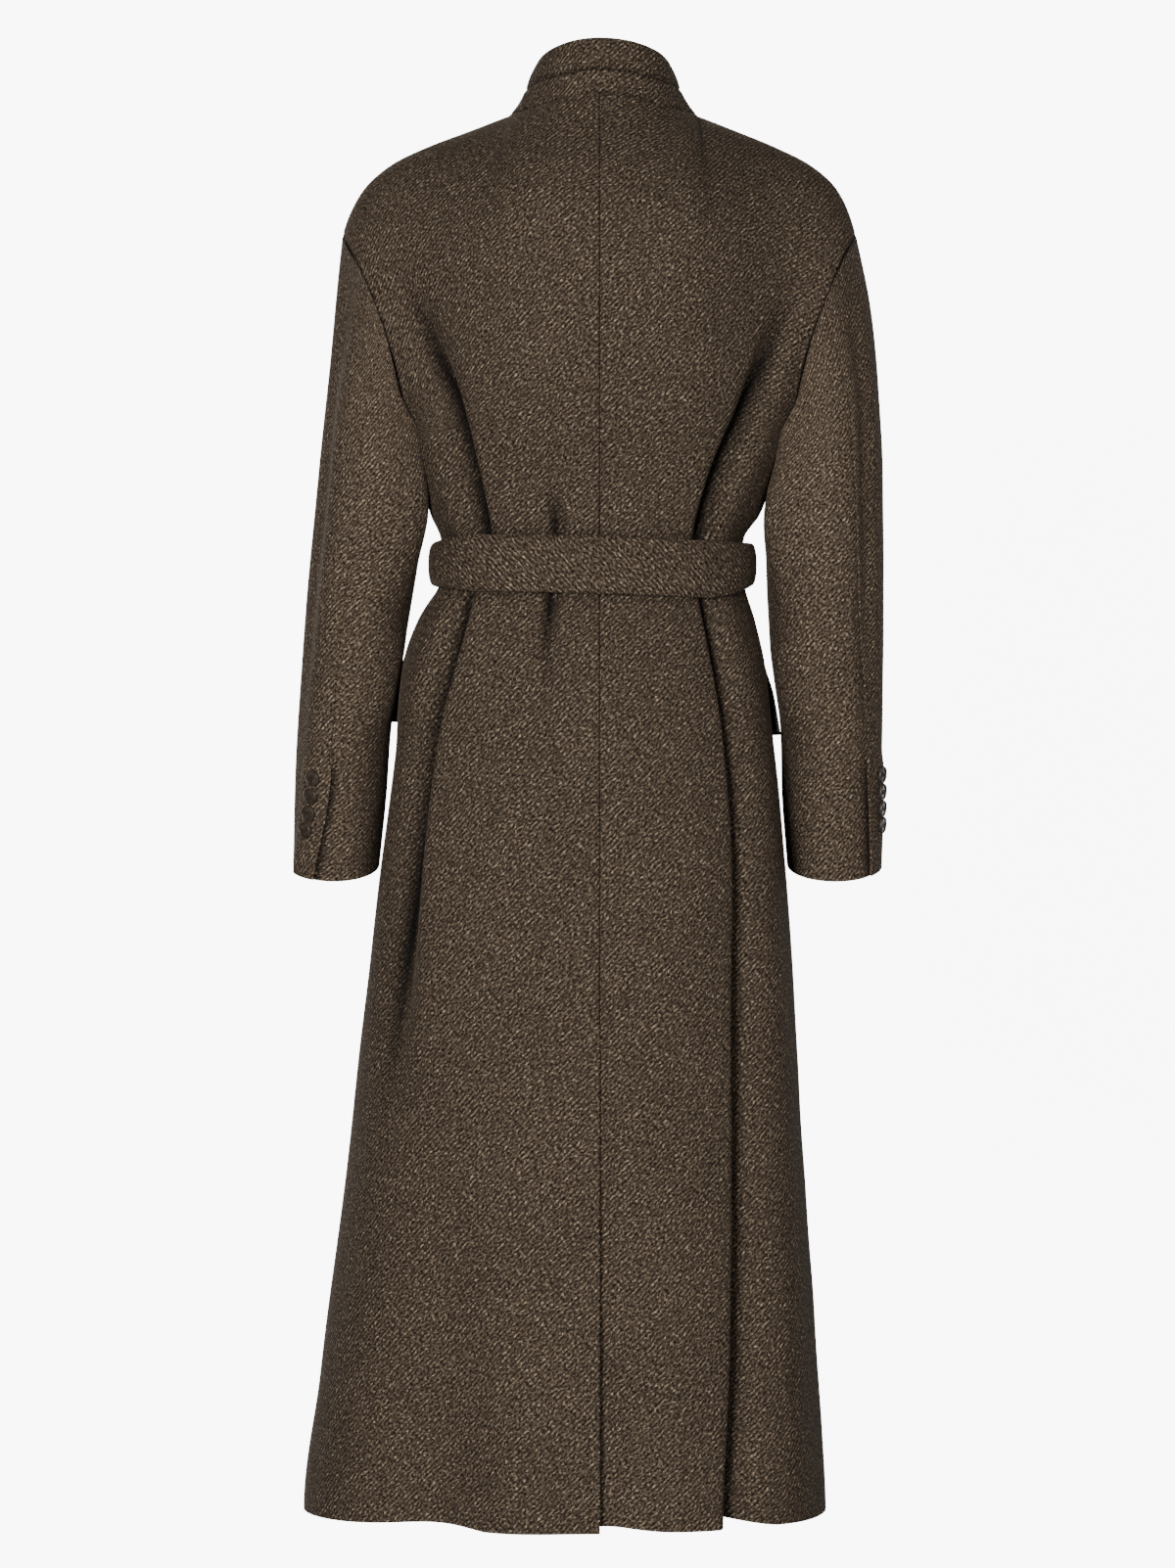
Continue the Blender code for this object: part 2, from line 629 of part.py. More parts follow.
def smooth_through(value, places, sizes):
    """A smooth curve through sizes that keeps its slope at both ends."""
    places, sizes = np.asarray(places, float), np.asarray(sizes, float)
    slopes = np.gradient(sizes, places)
    i = np.clip(np.searchsorted(places, value) - 1, 0, len(places) - 2)
    span = places[i + 1] - places[i]
    s = (value - places[i]) / span
    rise = s * s * (3 - 2 * s)
    bend_in = s * (1 - s) ** 2 * span * slopes[i]
    bend_out = s * s * (s - 1) * span * slopes[i + 1]
    return sizes[i] + (sizes[i + 1] - sizes[i]) * rise + bend_in + bend_out


def sleeve_normals(surface, angle, along, side):
    ahead = surface(angle + 0.5, along) - surface(angle - 0.5, along)
    further = surface(angle, np.minimum(along + STEP, 1)) - surface(angle, np.maximum(along - STEP, 0))
    return unit(np.cross(ahead, further)) * side


def sleeves(cloth):
    arm = np.linspace(0.09, CUFF_VENT_START, 8)
    along = np.concatenate([[SLEEVE_START], arm, np.linspace(CUFF_VENT_START, 1.0, 4)[1:]])
    for word, side in (("left", LEFT), ("right", RIGHT)):
        for piece in ("top", "under"):
            surface, at = sleeve_surface(side, lap=piece == "top")
            hind = at("hind_seam", along)
            lap = CUFF_LAP_ANGLE * ease(along, CUFF_VENT_START, CUFF_VENT_START + 0.05)
            if piece == "top":
                first = np.full_like(along, FORE_SEAM - 360 + SLEEVE_SEAM_ANGLE)
                last = hind - SLEEVE_SEAM_ANGLE + lap
            else:
                first = hind + SLEEVE_SEAM_ANGLE
                last = np.full_like(along, FORE_SEAM - SLEEVE_SEAM_ANGLE)
            marks = [m for m in range(-126, 361, ARMHOLE_MARK) if first[0] + 5 < m < last[0] - 5]
            share = (np.array([first[0], *marks, last[0]]) - first[0]) / (last[0] - first[0])
            angle = first[:, None] + (last - first)[:, None] * share
            run = np.broadcast_to(along[:, None], angle.shape)
            outer = surface(angle, run)
            angle, run = drawn_in(angle, 0.016, 1), np.maximum(run, SLEEVE_START * 2.4)
            out = sleeve_normals(surface, angle, run, side)
            shell(f"sleeve_{word}_{piece}", outer, surface(angle, run) - out * WALL, cloth)


def turned(name, profile, sides, material):
    """A closed round solid from a profile of (radius, height), from one pole to the other."""
    mesh = bmesh.new()
    rings = []
    for radius, height in profile:
        if radius == 0:
            rings.append([mesh.verts.new((0, 0, height))])
            continue
        angles = [2 * math.pi * k / sides for k in range(sides)]
        rings.append([mesh.verts.new((radius * math.cos(a), radius * math.sin(a), height)) for a in angles])
    for low, high in zip(rings, rings[1:]):
        for k in range(sides):
            a, b = low[k % len(low)], low[(k + 1) % len(low)]
            c, d = high[(k + 1) % len(high)], high[k % len(high)]
            mesh.faces.new(list(dict.fromkeys((a, b, c, d))))
    bmesh.ops.recalc_face_normals(mesh, faces=mesh.faces)
    return finish(name, mesh, material)


def cuff_buttons(horn):
    r, t = BUTTON_RADIUS, BUTTON_THICK
    rim = r - BUTTON_RIM
    profile = [(0, 0), (r * 0.80, 0), (r, t * 0.45), (r * 0.96, t)]
    profile += [(rim, t), (rim - 0.0006, t - BUTTON_DISH), (0, t - BUTTON_DISH)]
    for word, side in (("left", LEFT), ("right", RIGHT)):
        surface, at = sleeve_surface(side, lap=True)
        for k in range(BUTTON_COUNT):
            along = np.array([BUTTON_FIRST + k * BUTTON_PITCH])
            angle = at("hind_seam", along) + CUFF_LAP_ANGLE - BUTTON_FROM_EDGE
            seat = surface(angle, along)[0]
            out = sleeve_normals(surface, angle, along, side)[0]
            button = turned(f"cuff_button_{word}_{k + 1}", profile, 10, horn)
            place(button, seat + out * BUTTON_CLEARANCE, out)


def place(made, position, direction):
    """Moves an object to a point with its own +Z along a direction."""
    made.rotation_mode = "QUATERNION"
    made.rotation_quaternion = Vector(direction).to_track_quat("Z", "Y")
    made.location = position


def belt_line(turn):
    """Middle of the belt's inner face, a waist oval at a turn from centre back."""
    at_waist = (BELT_HEIGHT - HEM) / (UNDERARM - HEM)
    found = []
    for t in turn:
        side = RIGHT if t >= 0 else LEFT
        face = BACK if abs(t) <= 1 else FRONT
        across = abs(t) if face == BACK else 2 - abs(t)
        a, u = np.array([across]), np.array([at_waist])

        def surface(p, q, face=face, side=side):
            return panel(face, side, p, q)

        out = normals(surface, a, u, -face * side)
        out[..., 2] = 0
        found.append((surface(a, u)[0], unit(out)[0]))
    return np.array([f[0] for f in found]), np.array([f[1] for f in found])


def belt(cloth):
    turns = np.linspace(-2, 2, 49)[:-1]
    line, out = belt_line(turns)
    at_back, at_front = ease(np.abs(turns), 1.0, 0.45), ease(np.abs(turns), 1.0, 1.6)
    width = BELT_WIDTH_SIDE + (BELT_WIDTH_BACK - BELT_WIDTH_SIDE) * at_back
    width = width + (BELT_WIDTH_FRONT - BELT_WIDTH_SIDE) * at_front
    line[:, 2] -= (BELT_DIP + BELT_TILT * line[:, 0]) * at_back
    profile = [  # height share and how far out across the belt's thickness
        (-1.00, 0.30), (-0.92, 0.85), (-0.45, 1.00), (0.45, 1.00), (0.92, 0.85),
        (1.00, 0.30), (0.93, 0.02), (0.40, 0.00), (-0.40, 0.00), (-0.93, 0.02),
    ]
    mesh = bmesh.new()
    rings = []
    for p, n, w in zip(line, out, width):
        ring = []
        for height, share in profile:
            crown = BELT_CROWN * (1 - height * height) * share
            far = BELT_CLEARANCE + BELT_THICK * share + crown
            ring.append(mesh.verts.new(p + n * far + np.array([0, 0, height * w / 2])))
        rings.append(ring)
    for a, b in zip(rings, rings[1:] + rings[:1]):
        for k in range(len(profile)):
            m = (k + 1) % len(profile)
            mesh.faces.new((a[k], a[m], b[m], b[k]))
    bmesh.ops.recalc_face_normals(mesh, faces=mesh.faces)
    finish("belt", mesh, cloth)


def belt_tie(cloth):
    """A plain knot over the front of the belt and the two ends that hang from it."""
    line, out = belt_line([1.999])
    front = BELT_CLEARANCE + BELT_THICK + BELT_CROWN
    mesh = bmesh.new()
    bmesh.ops.create_cube(mesh, size=1.0)
    bmesh.ops.scale(mesh, vec=KNOT_SIZE, verts=mesh.verts)
    middle = line[0] + out[0] * (front + SEAM + KNOT_SIZE[1] / 2)
    bmesh.ops.translate(mesh, vec=middle, verts=mesh.verts)
    knot = finish("belt_knot", mesh, cloth)
    bevel = knot.modifiers.new("rounded", "BEVEL")
    bevel.width, bevel.segments = 0.0085, 3
    surface, outwards = body_panel(FRONT, RIGHT)
    for name, first, last, low in BELT_ENDS:
        heights = np.linspace(low, BELT_HEIGHT - BELT_WIDTH_FRONT / 2 - 0.0030, 9)
        rows = []
        up = (heights - HEM) / (UNDERARM - HEM)
        for level, sag in zip(up, np.linspace(1, 0, 9)):
            x = np.linspace(first, last, 5) * (0.55 + 0.45 * sag)
            fine = np.linspace(-0.6, 0.6, 121)
            row = panel(FRONT, RIGHT, fine, np.full_like(fine, level))
            rows.append(np.interp(x, row[:, 0], fine))
        across = np.array(rows)
        run = np.broadcast_to(up[:, None], across.shape)
        lift = TAIL_CLEARANCE + BELT_THICK
        cloth_wall(name, surface, outwards, across, run, cloth, wall=BELT_THICK, lift=lift)


def pocket_flaps(cloth):
    for word, side in (("left", LEFT), ("right", RIGHT)):
        surface, outwards = body_panel(FRONT, side, lap_offset if side == LEFT else None)
        heights = np.linspace(FLAP_TOP[side] - FLAP_HEIGHT, FLAP_TOP[side], 4)
        across, up = np.meshgrid(np.linspace(*FLAP_ACROSS, 9), (heights - HEM) / (UNDERARM - HEM))
        lift = np.linspace(FLAP_LIFT_BOTTOM[side], FLAP_LIFT_TOP, 4)[:, None] + FLAP_WALL
        cloth_wall(f"pocket_flap_{word}", surface, outwards, across, up, cloth, wall=FLAP_WALL, lift=lift)


def material(name, colour, roughness):
    made = bpy.data.materials.new(name)
    made.use_nodes = True
    shader = made.node_tree.nodes["Principled BSDF"]
    shader.inputs["Base Color"].default_value = colour
    shader.inputs["Roughness"].default_value = roughness
    shader.inputs["Metallic"].default_value = 0.0
    return made


def main():
    for old in list(bpy.data.objects):
        bpy.data.objects.remove(old)
    cloth = material("tweed", CLOTH_COLOUR, 0.95)
    horn = material("horn", BUTTON_COLOUR, 0.35)
    backs(cloth)
    fronts(cloth)
    collar(cloth)
    sleeves(cloth)
    cuff_buttons(horn)
    belt(cloth)
    belt_tie(cloth)
    pocket_flaps(cloth)


main()
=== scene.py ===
"""Looks of the belted tweed coat.

Fine cloth shells stand for the plain solids and keep their form: the tables and the surfaces are
the solids' own, and seams, small creases, soft edges, tweed and horn come on top of them here.
Metres, +Z up. The back of the coat faces -Y and the wearer's left is -X.
A panel is a surface of two running values: `across`, from the centre line (0) to the side seam or
armhole (1), and `up`, from the hem (0) to the underarm (1), the shoulder blades (2) and the neck (3).
"""

import json
import math
from collections import namedtuple
from functools import partial
from itertools import product

import bpy
import numpy as np
from mathutils import Matrix, Vector
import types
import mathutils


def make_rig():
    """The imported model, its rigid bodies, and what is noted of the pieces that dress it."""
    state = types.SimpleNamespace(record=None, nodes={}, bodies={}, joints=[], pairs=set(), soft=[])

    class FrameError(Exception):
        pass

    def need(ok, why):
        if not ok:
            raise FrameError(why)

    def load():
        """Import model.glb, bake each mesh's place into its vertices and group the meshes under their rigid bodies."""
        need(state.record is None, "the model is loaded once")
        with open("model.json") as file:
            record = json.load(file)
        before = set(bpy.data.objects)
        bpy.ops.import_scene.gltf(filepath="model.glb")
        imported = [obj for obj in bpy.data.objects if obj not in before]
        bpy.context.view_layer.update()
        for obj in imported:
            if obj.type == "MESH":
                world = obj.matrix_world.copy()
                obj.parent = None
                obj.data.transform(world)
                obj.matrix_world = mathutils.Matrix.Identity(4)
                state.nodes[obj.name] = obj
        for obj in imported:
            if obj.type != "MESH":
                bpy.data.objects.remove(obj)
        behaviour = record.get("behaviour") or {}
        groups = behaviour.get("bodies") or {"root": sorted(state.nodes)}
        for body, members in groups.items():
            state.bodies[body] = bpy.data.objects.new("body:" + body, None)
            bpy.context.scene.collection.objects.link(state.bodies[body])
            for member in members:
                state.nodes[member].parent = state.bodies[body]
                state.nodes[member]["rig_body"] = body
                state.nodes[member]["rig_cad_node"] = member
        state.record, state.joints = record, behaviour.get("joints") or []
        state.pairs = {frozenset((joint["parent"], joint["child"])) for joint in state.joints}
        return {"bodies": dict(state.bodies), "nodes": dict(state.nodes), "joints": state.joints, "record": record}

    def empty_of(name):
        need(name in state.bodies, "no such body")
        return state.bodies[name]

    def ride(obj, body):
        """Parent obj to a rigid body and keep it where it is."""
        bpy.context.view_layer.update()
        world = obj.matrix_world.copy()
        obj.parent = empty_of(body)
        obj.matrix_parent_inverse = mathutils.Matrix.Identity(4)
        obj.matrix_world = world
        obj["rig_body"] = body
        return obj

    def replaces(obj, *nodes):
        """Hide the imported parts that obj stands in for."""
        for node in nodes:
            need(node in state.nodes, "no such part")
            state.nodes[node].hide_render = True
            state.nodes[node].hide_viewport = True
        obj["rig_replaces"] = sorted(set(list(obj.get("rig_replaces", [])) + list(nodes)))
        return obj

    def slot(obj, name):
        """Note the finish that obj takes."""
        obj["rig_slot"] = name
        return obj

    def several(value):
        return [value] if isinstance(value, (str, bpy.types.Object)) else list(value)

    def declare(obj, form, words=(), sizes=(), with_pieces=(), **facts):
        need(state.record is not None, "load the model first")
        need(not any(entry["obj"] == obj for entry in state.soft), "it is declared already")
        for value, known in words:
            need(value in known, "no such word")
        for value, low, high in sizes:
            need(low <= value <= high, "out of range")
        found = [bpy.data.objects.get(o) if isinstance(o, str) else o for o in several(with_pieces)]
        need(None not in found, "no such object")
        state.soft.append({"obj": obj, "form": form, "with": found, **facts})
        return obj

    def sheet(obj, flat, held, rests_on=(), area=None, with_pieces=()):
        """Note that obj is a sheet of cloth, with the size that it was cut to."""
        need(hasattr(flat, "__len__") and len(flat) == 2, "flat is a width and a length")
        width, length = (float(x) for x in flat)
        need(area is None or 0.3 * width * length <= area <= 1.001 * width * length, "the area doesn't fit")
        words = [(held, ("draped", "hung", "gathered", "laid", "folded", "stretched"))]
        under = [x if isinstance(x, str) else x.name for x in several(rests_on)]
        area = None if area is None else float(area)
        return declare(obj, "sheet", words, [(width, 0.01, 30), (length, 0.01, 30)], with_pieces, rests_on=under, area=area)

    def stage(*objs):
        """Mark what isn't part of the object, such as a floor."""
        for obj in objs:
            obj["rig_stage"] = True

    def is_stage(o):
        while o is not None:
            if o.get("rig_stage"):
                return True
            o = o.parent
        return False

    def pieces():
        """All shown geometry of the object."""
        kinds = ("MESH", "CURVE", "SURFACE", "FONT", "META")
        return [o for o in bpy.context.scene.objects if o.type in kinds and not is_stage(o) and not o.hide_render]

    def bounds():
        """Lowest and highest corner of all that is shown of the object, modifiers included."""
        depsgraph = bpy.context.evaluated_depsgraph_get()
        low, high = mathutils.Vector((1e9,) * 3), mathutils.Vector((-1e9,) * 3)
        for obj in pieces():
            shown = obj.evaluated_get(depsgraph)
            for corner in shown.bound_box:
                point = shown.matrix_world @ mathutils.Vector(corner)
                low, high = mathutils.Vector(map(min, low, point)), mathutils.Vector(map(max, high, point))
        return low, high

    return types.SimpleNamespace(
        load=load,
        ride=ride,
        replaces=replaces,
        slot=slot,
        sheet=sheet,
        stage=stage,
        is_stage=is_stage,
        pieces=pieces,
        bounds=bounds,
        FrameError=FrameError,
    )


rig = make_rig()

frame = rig.load()
CAD_BOX = [list(corner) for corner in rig.bounds()]

# Cloth and seams
WALL = 0.0024
SEAM = 0.00030
BACK, FRONT = -1, 1
LEFT, RIGHT = -1, 1
SIDES = (("left", LEFT), ("right", RIGHT))

# Levels of the body, as heights of its centre lines
HEM = -1.238
UNDERARM = -0.290
BLADE = {BACK: -0.120, FRONT: -0.150}
VENT_TOP = -0.806
HEM_LIFT, HEM_LIFT_HEIGHT = 0.30, 0.15
VENT_LAP = 0.16
VENT_START = 0.030
FRONT_LAP = 0.090
FRONT_LAP_AT_NECK = 0.040
LAP_DEPTH = WALL + 0.0022
LAP_NARROWS, LAP_NARROWS_UP = (-0.24, -0.05), (1.3, 3.0)
LAP_STEP = (0.030, 0.010)

# Roundness of a section's quarter arcs: the lengths of the two handles as shares of its half sizes
CENTRE_HANDLE = 0.60
SIDE_HANDLE = 0.58
SIDE_HANDLE_LOSS = 0.25

# Half sizes of the body at each height, out to the left, right, back and front
Body = namedtuple("Body", "height left right back front")
BODY = [
    Body(HEM, 0.262, 0.200, 0.180, 0.172),
    Body(-1.116, 0.248, 0.192, 0.173, 0.166),
    Body(-0.942, 0.225, 0.180, 0.162, 0.159),
    Body(-0.768, 0.205, 0.170, 0.151, 0.151),
    Body(-0.672, 0.193, 0.163, 0.143, 0.145),
    Body(-0.568, 0.179, 0.155, 0.132, 0.137),
    Body(-0.464, 0.1670, 0.1425, 0.115, 0.124),
    Body(-0.442, 0.1570, 0.1365, 0.105, 0.117),
    Body(-0.432, 0.1505, 0.1330, 0.1022, 0.1128),
    Body(-0.424, 0.1445, 0.1305, 0.1020, 0.1121),
    Body(-0.400, 0.142, 0.130, 0.102, 0.112),
    Body(-0.374, 0.142, 0.130, 0.102, 0.112),
    Body(-0.359, 0.149, 0.141, 0.107, 0.116),
    Body(-0.335, 0.156, 0.151, 0.113, 0.120),
    Body(-0.290, 0.168, 0.168, 0.126, 0.128),
    Body(-0.200, 0.180, 0.180, 0.141, 0.131),
    Body(-0.120, 0.190, 0.190, 0.139, 0.118),
]

# Armhole: a leaning oval between the shoulder tip and the underarm
SHOULDER_TIP = (0.228, -0.107)
ARMHOLE_UNDER = (0.168, UNDERARM)
ARMHOLE_DEPTH = 0.075

# Shoulder seam from neck to tip, as seen from behind
ShoulderPoint = namedtuple("ShoulderPoint", "out height")
SHOULDER = [
    ShoulderPoint(0.0835, 0.0),
    ShoulderPoint(0.113, -0.0113),
    ShoulderPoint(0.156, -0.0287),
    ShoulderPoint(0.1885, -0.046),
    ShoulderPoint(0.208, -0.0635),
    ShoulderPoint(0.2225, -0.0896),
    ShoulderPoint(*SHOULDER_TIP),
]
NECK_SHARE = 0.34
NECK_SHIFT = 0.0035
NECK_RISE_AT_CENTRE = math.radians(62)
NECK_RISE_AT_SIDE = math.radians(8)
NECK_RISE_FROM = 0.75
BLADE_HANDLE, SHOULDER_ROLL, NECK_ROLL = 0.35, 0.55, 0.012

# Rings of the collar: neck seam, the seam between stand and leaf, and the top edge. The higher its
# peak, the more a ring's rise gathers at centre back
CollarRing = namedtuple("CollarRing", "half_width middle back front rise_back rise_side rise_front peak")
NECK_SEAM = CollarRing(0.0835, 0.010, 0.074, 0.078, 0.013, 0.000, -0.062, 5.0)
COLLAR_SEAM = CollarRing(0.0690, 0.008, 0.066, 0.070, 0.034, 0.023, -0.034, 2.3)
COLLAR_TOP = CollarRing(0.0590, 0.007, 0.060, 0.066, 0.062, 0.045, -0.004, 1.25)
FRONT_PEAK = 1.5
COLLAR_OPENING = math.radians(9)
COLLAR_WALL = 0.0034

# Folds of the body: a trough at a place across, its depth, and its widths towards the centre and the side
Fold = namedtuple("Fold", "height across depth inner outer")
BACK_FOLDS = [
    [  # drape from the left armhole to the belt
        Fold(-0.405, -0.099, 0.000, 0.010, 0.016),
        Fold(-0.376, -0.100, 0.015, 0.010, 0.020),
        Fold(-0.342, -0.106, 0.021, 0.011, 0.024),
        Fold(-0.272, -0.125, 0.021, 0.014, 0.025),
        Fold(-0.203, -0.148, 0.012, 0.018, 0.024),
        Fold(-0.125, -0.172, 0.000, 0.020, 0.022),
    ],
    [  # drape from the right armhole to the belt
        Fold(-0.405, 0.088, 0.000, 0.012, 0.016),
        Fold(-0.376, 0.089, 0.016, 0.012, 0.018),
        Fold(-0.316, 0.107, 0.024, 0.015, 0.022),
        Fold(-0.272, 0.128, 0.022, 0.017, 0.023),
        Fold(-0.220, 0.148, 0.013, 0.018, 0.022),
        Fold(-0.140, 0.172, 0.000, 0.020, 0.022),
    ],
    [  # fold below the belt on the left, dying out in the skirt
        Fold(-0.920, -0.186, 0.000, 0.030, 0.030),
        Fold(-0.800, -0.178, 0.010, 0.024, 0.028),
        Fold(-0.699, -0.168, 0.017, 0.016, 0.026),
        Fold(-0.602, -0.155, 0.020, 0.011, 0.025),
        Fold(-0.542, -0.145, 0.019, 0.010, 0.024),
        Fold(-0.490, -0.130, 0.017, 0.009, 0.022),
        Fold(-0.430, -0.115, 0.011, 0.008, 0.018),
        Fold(-0.400, -0.112, 0.000, 0.008, 0.018),
    ],
    [  # deep fold below the belt on the right, running out at the hem
        Fold(HEM, 0.110, 0.030, 0.010, 0.050),
        Fold(-1.116, 0.116, 0.031, 0.010, 0.046),
        Fold(-0.942, 0.119, 0.030, 0.010, 0.038),
        Fold(-0.768, 0.120, 0.028, 0.010, 0.032),
        Fold(-0.681, 0.121, 0.026, 0.010, 0.028),
        Fold(-0.594, 0.117, 0.023, 0.010, 0.025),
        Fold(-0.507, 0.106, 0.019, 0.009, 0.022),
        Fold(-0.430, 0.091, 0.012, 0.008, 0.018),
        Fold(-0.400, 0.088, 0.000, 0.008, 0.018),
    ],
    [  # short pinch caught under the belt
        Fold(-0.540, -0.043, 0.000, 0.014, 0.018),
        Fold(-0.480, -0.043, 0.003, 0.012, 0.016),
        Fold(-0.430, -0.040, 0.007, 0.009, 0.014),
        Fold(-0.370, -0.036, 0.006, 0.009, 0.013),
        Fold(-0.320, -0.039, 0.000, 0.010, 0.014),
    ],
    [  # wide hollow of the left hem
        Fold(HEM, -0.148, 0.016, 0.050, 0.050),
        Fold(-1.100, -0.138, 0.010, 0.048, 0.042),
        Fold(-0.850, -0.120, 0.000, 0.046, 0.036),
    ],
    [  # swell of the left hem beside the vent
        Fold(HEM, -0.072, -0.010, 0.045, 0.040),
        Fold(-1.060, -0.075, -0.006, 0.045, 0.040),
        Fold(-0.850, -0.080, 0.000, 0.045, 0.040),
    ],
]
FRONT_FOLDS = [
    [  # soft folds of the skirt, one each side
        Fold(HEM, side * 0.158, 0.016, 0.026, 0.034),
        Fold(-0.900, side * 0.142, 0.014, 0.018, 0.024),
        Fold(-0.620, side * 0.126, 0.000, 0.014, 0.018),
    ]
    for side in (LEFT, RIGHT)
] + [
    [  # drapes from the belt towards the armholes
        Fold(-0.405, side * 0.108, 0.000, 0.008, 0.010),
        Fold(-0.376, side * 0.110, 0.006, 0.008, 0.010),
        Fold(-0.300, side * 0.126, 0.009, 0.012, 0.014),
        Fold(-0.190, side * 0.150, 0.000, 0.014, 0.016),
    ]
    for side in (LEFT, RIGHT)
]
VENT_RECESS = [
    Fold(HEM, 0.004, 0.016, 1.0, 0.036),
    Fold(-1.050, 0.003, 0.011, 1.0, 0.030),
    Fold(-0.900, 0.002, 0.006, 1.0, 0.020),
    Fold(VENT_TOP, 0.002, 0.0036, 1.0, 0.014),
    Fold(VENT_TOP + 0.040, 0.002, 0.000, 1.0, 0.014),
]

# Sections of the sleeves from armhole to cuff: the ends of each seen from behind, its middle and
# half depth in Y, how far its back hangs lower, and where the hind seam crosses it
Sleeve = namedtuple("Sleeve", "outer outer_height inner inner_height middle depth drop hind_seam")
SLEEVES = {
    LEFT: [
        Sleeve(*SHOULDER_TIP, *ARMHOLE_UNDER, 0.000, ARMHOLE_DEPTH, 0.000, 84),
        Sleeve(0.236, -0.185, 0.1650, -0.318, 0.000, 0.073, 0.000, 82),
        Sleeve(0.246, -0.285, 0.1590, -0.352, 0.000, 0.070, 0.000, 80),
        Sleeve(0.256, -0.385, 0.1620, -0.400, 0.002, 0.067, 0.002, 78),
        Sleeve(0.263, -0.465, 0.1725, -0.465, 0.010, 0.063, 0.005, 76),
        Sleeve(0.269, -0.545, 0.1855, -0.540, 0.024, 0.058, 0.008, 78),
        Sleeve(0.273, -0.610, 0.1905, -0.608, 0.040, 0.054, 0.011, 71),
        Sleeve(0.275, -0.668, 0.1970, -0.668, 0.054, 0.051, 0.014, 57),
    ],
    RIGHT: [
        Sleeve(*SHOULDER_TIP, *ARMHOLE_UNDER, 0.000, ARMHOLE_DEPTH, 0.000, 74),
        Sleeve(0.243, -0.185, 0.1645, -0.318, 0.000, 0.073, 0.000, 70),
        Sleeve(0.251, -0.285, 0.1540, -0.352, 0.000, 0.070, 0.000, 64),
        Sleeve(0.253, -0.385, 0.1490, -0.400, 0.002, 0.067, 0.002, 58),
        Sleeve(0.253, -0.465, 0.1515, -0.465, 0.010, 0.063, 0.005, 52),
        Sleeve(0.253, -0.545, 0.1615, -0.540, 0.024, 0.058, 0.008, 46),
        Sleeve(0.252, -0.610, 0.1640, -0.608, 0.040, 0.054, 0.011, 40),
        Sleeve(0.251, -0.668, 0.1690, -0.668, 0.054, 0.051, 0.014, 35),
    ],
}
FORE_SEAM = 236
CUFF_VENT_START, CUFF_VENT_EASE = 0.745, 0.05
CUFF_LAP_ANGLE = 7.0
CUFF_LAP_RISE = 0.0036
CUFF_LAP_FROM, CUFF_LAP_TO = 44, 26
SLEEVE_LEAST_HALF = 0.02

# Bulges of each sleeve towards the body behind its side, each with where along it starts and ends
SLEEVE_TUCK = 0.017
TUCK_ANGLE, TUCK_WIDTH = 138, 26
TUCK_START, TUCK_END = (0.0, 0.10), (0.56, 0.30)
LOW_TUCK = 0.008
LOW_TUCK_START, LOW_TUCK_END = (0.54, 0.60), (0.74, 0.66)

# Crease down the outer side of each sleeve, turned towards the back on the right one
SleeveFold = namedtuple("SleeveFold", "along angle depth width")
SLEEVE_FOLD = [
    SleeveFold(0.00, 30, 0.000, 12),
    SleeveFold(0.18, 29, 0.004, 12),
    SleeveFold(0.50, 27, 0.005, 13),
    SleeveFold(0.72, 26, 0.002, 14),
    SleeveFold(0.85, 26, 0.000, 14),
]
CREASE_TURN = {LEFT: 0, RIGHT: 18}

# Belt
BELT_HEIGHT = -0.400
BELT_THICK = 0.0072
BELT_CLEARANCE = 0.0016
BELT_WIDTH_BACK, BELT_WIDTH_SIDE, BELT_WIDTH_FRONT = 0.050, 0.037, 0.046
BELT_DIP, BELT_TILT = 0.0045, 0.030
BELT_CROWN = 0.0012
BELT_AT_BACK, BELT_AT_FRONT = (1.0, 0.45), (1.0, 1.6)
BELT_TALL_SHAPE, BELT_DEEP_SHAPE = 0.60, 0.80
KNOT_SIZE = (0.036, 0.020, 0.054)
KNOT_WAIST, KNOT_FALL, KNOT_THIN = 0.16, 0.28, 0.3
KNOT_DEEP_SHAPE, KNOT_TALL_SHAPE = 0.55, 0.75
KNOT_CREASES = ((1.0, 9.0, 0.8), (0.6, 15.0, -1.0))
TAIL_CLEARANCE, TAIL_BELOW_BELT, TAIL_GATHER = 0.0010, 0.0030, 0.55
BeltEnd = namedtuple("BeltEnd", "name left right low")
BELT_ENDS = [
    BeltEnd("belt_end_left", -0.062, -0.008, -0.690),
    BeltEnd("belt_end_right", 0.004, 0.058, -0.725),
]

# Pocket flaps, on the fronts beside the side seams
FLAP_HEIGHT = 0.062
FLAP_ACROSS = (0.42, 0.965)
FLAP_TOP = {LEFT: -0.478, RIGHT: -0.490}
FLAP_WALL = 0.0026
FLAP_LIFT_TOP = 0.0004
FLAP_TUCK_RANGE = (0.55, 1.0)
FLAP_LIFT_BOTTOM = {LEFT: 0.0070, RIGHT: 0.0060}

# Cuff buttons
BUTTON_RADIUS = 0.0075
BUTTON_THICK = 0.0032
BUTTON_RIM = 0.0016
BUTTON_DISH = 0.0009
BUTTON_CLEARANCE = 0.0004
BUTTON_FIRST, BUTTON_PITCH, BUTTON_COUNT = 0.793, 0.0345, 4
BUTTON_FROM_EDGE = 21.0
BUTTON_SPIN = 0.5
BUTTON_SIDES, HOLE_SIDES, THREAD_SIDES = 48, 12, 6
POLE = 0.0002

# Steps of the running values that slopes are read over
STEP, ANGLE_STEP = 1e-3, 0.5

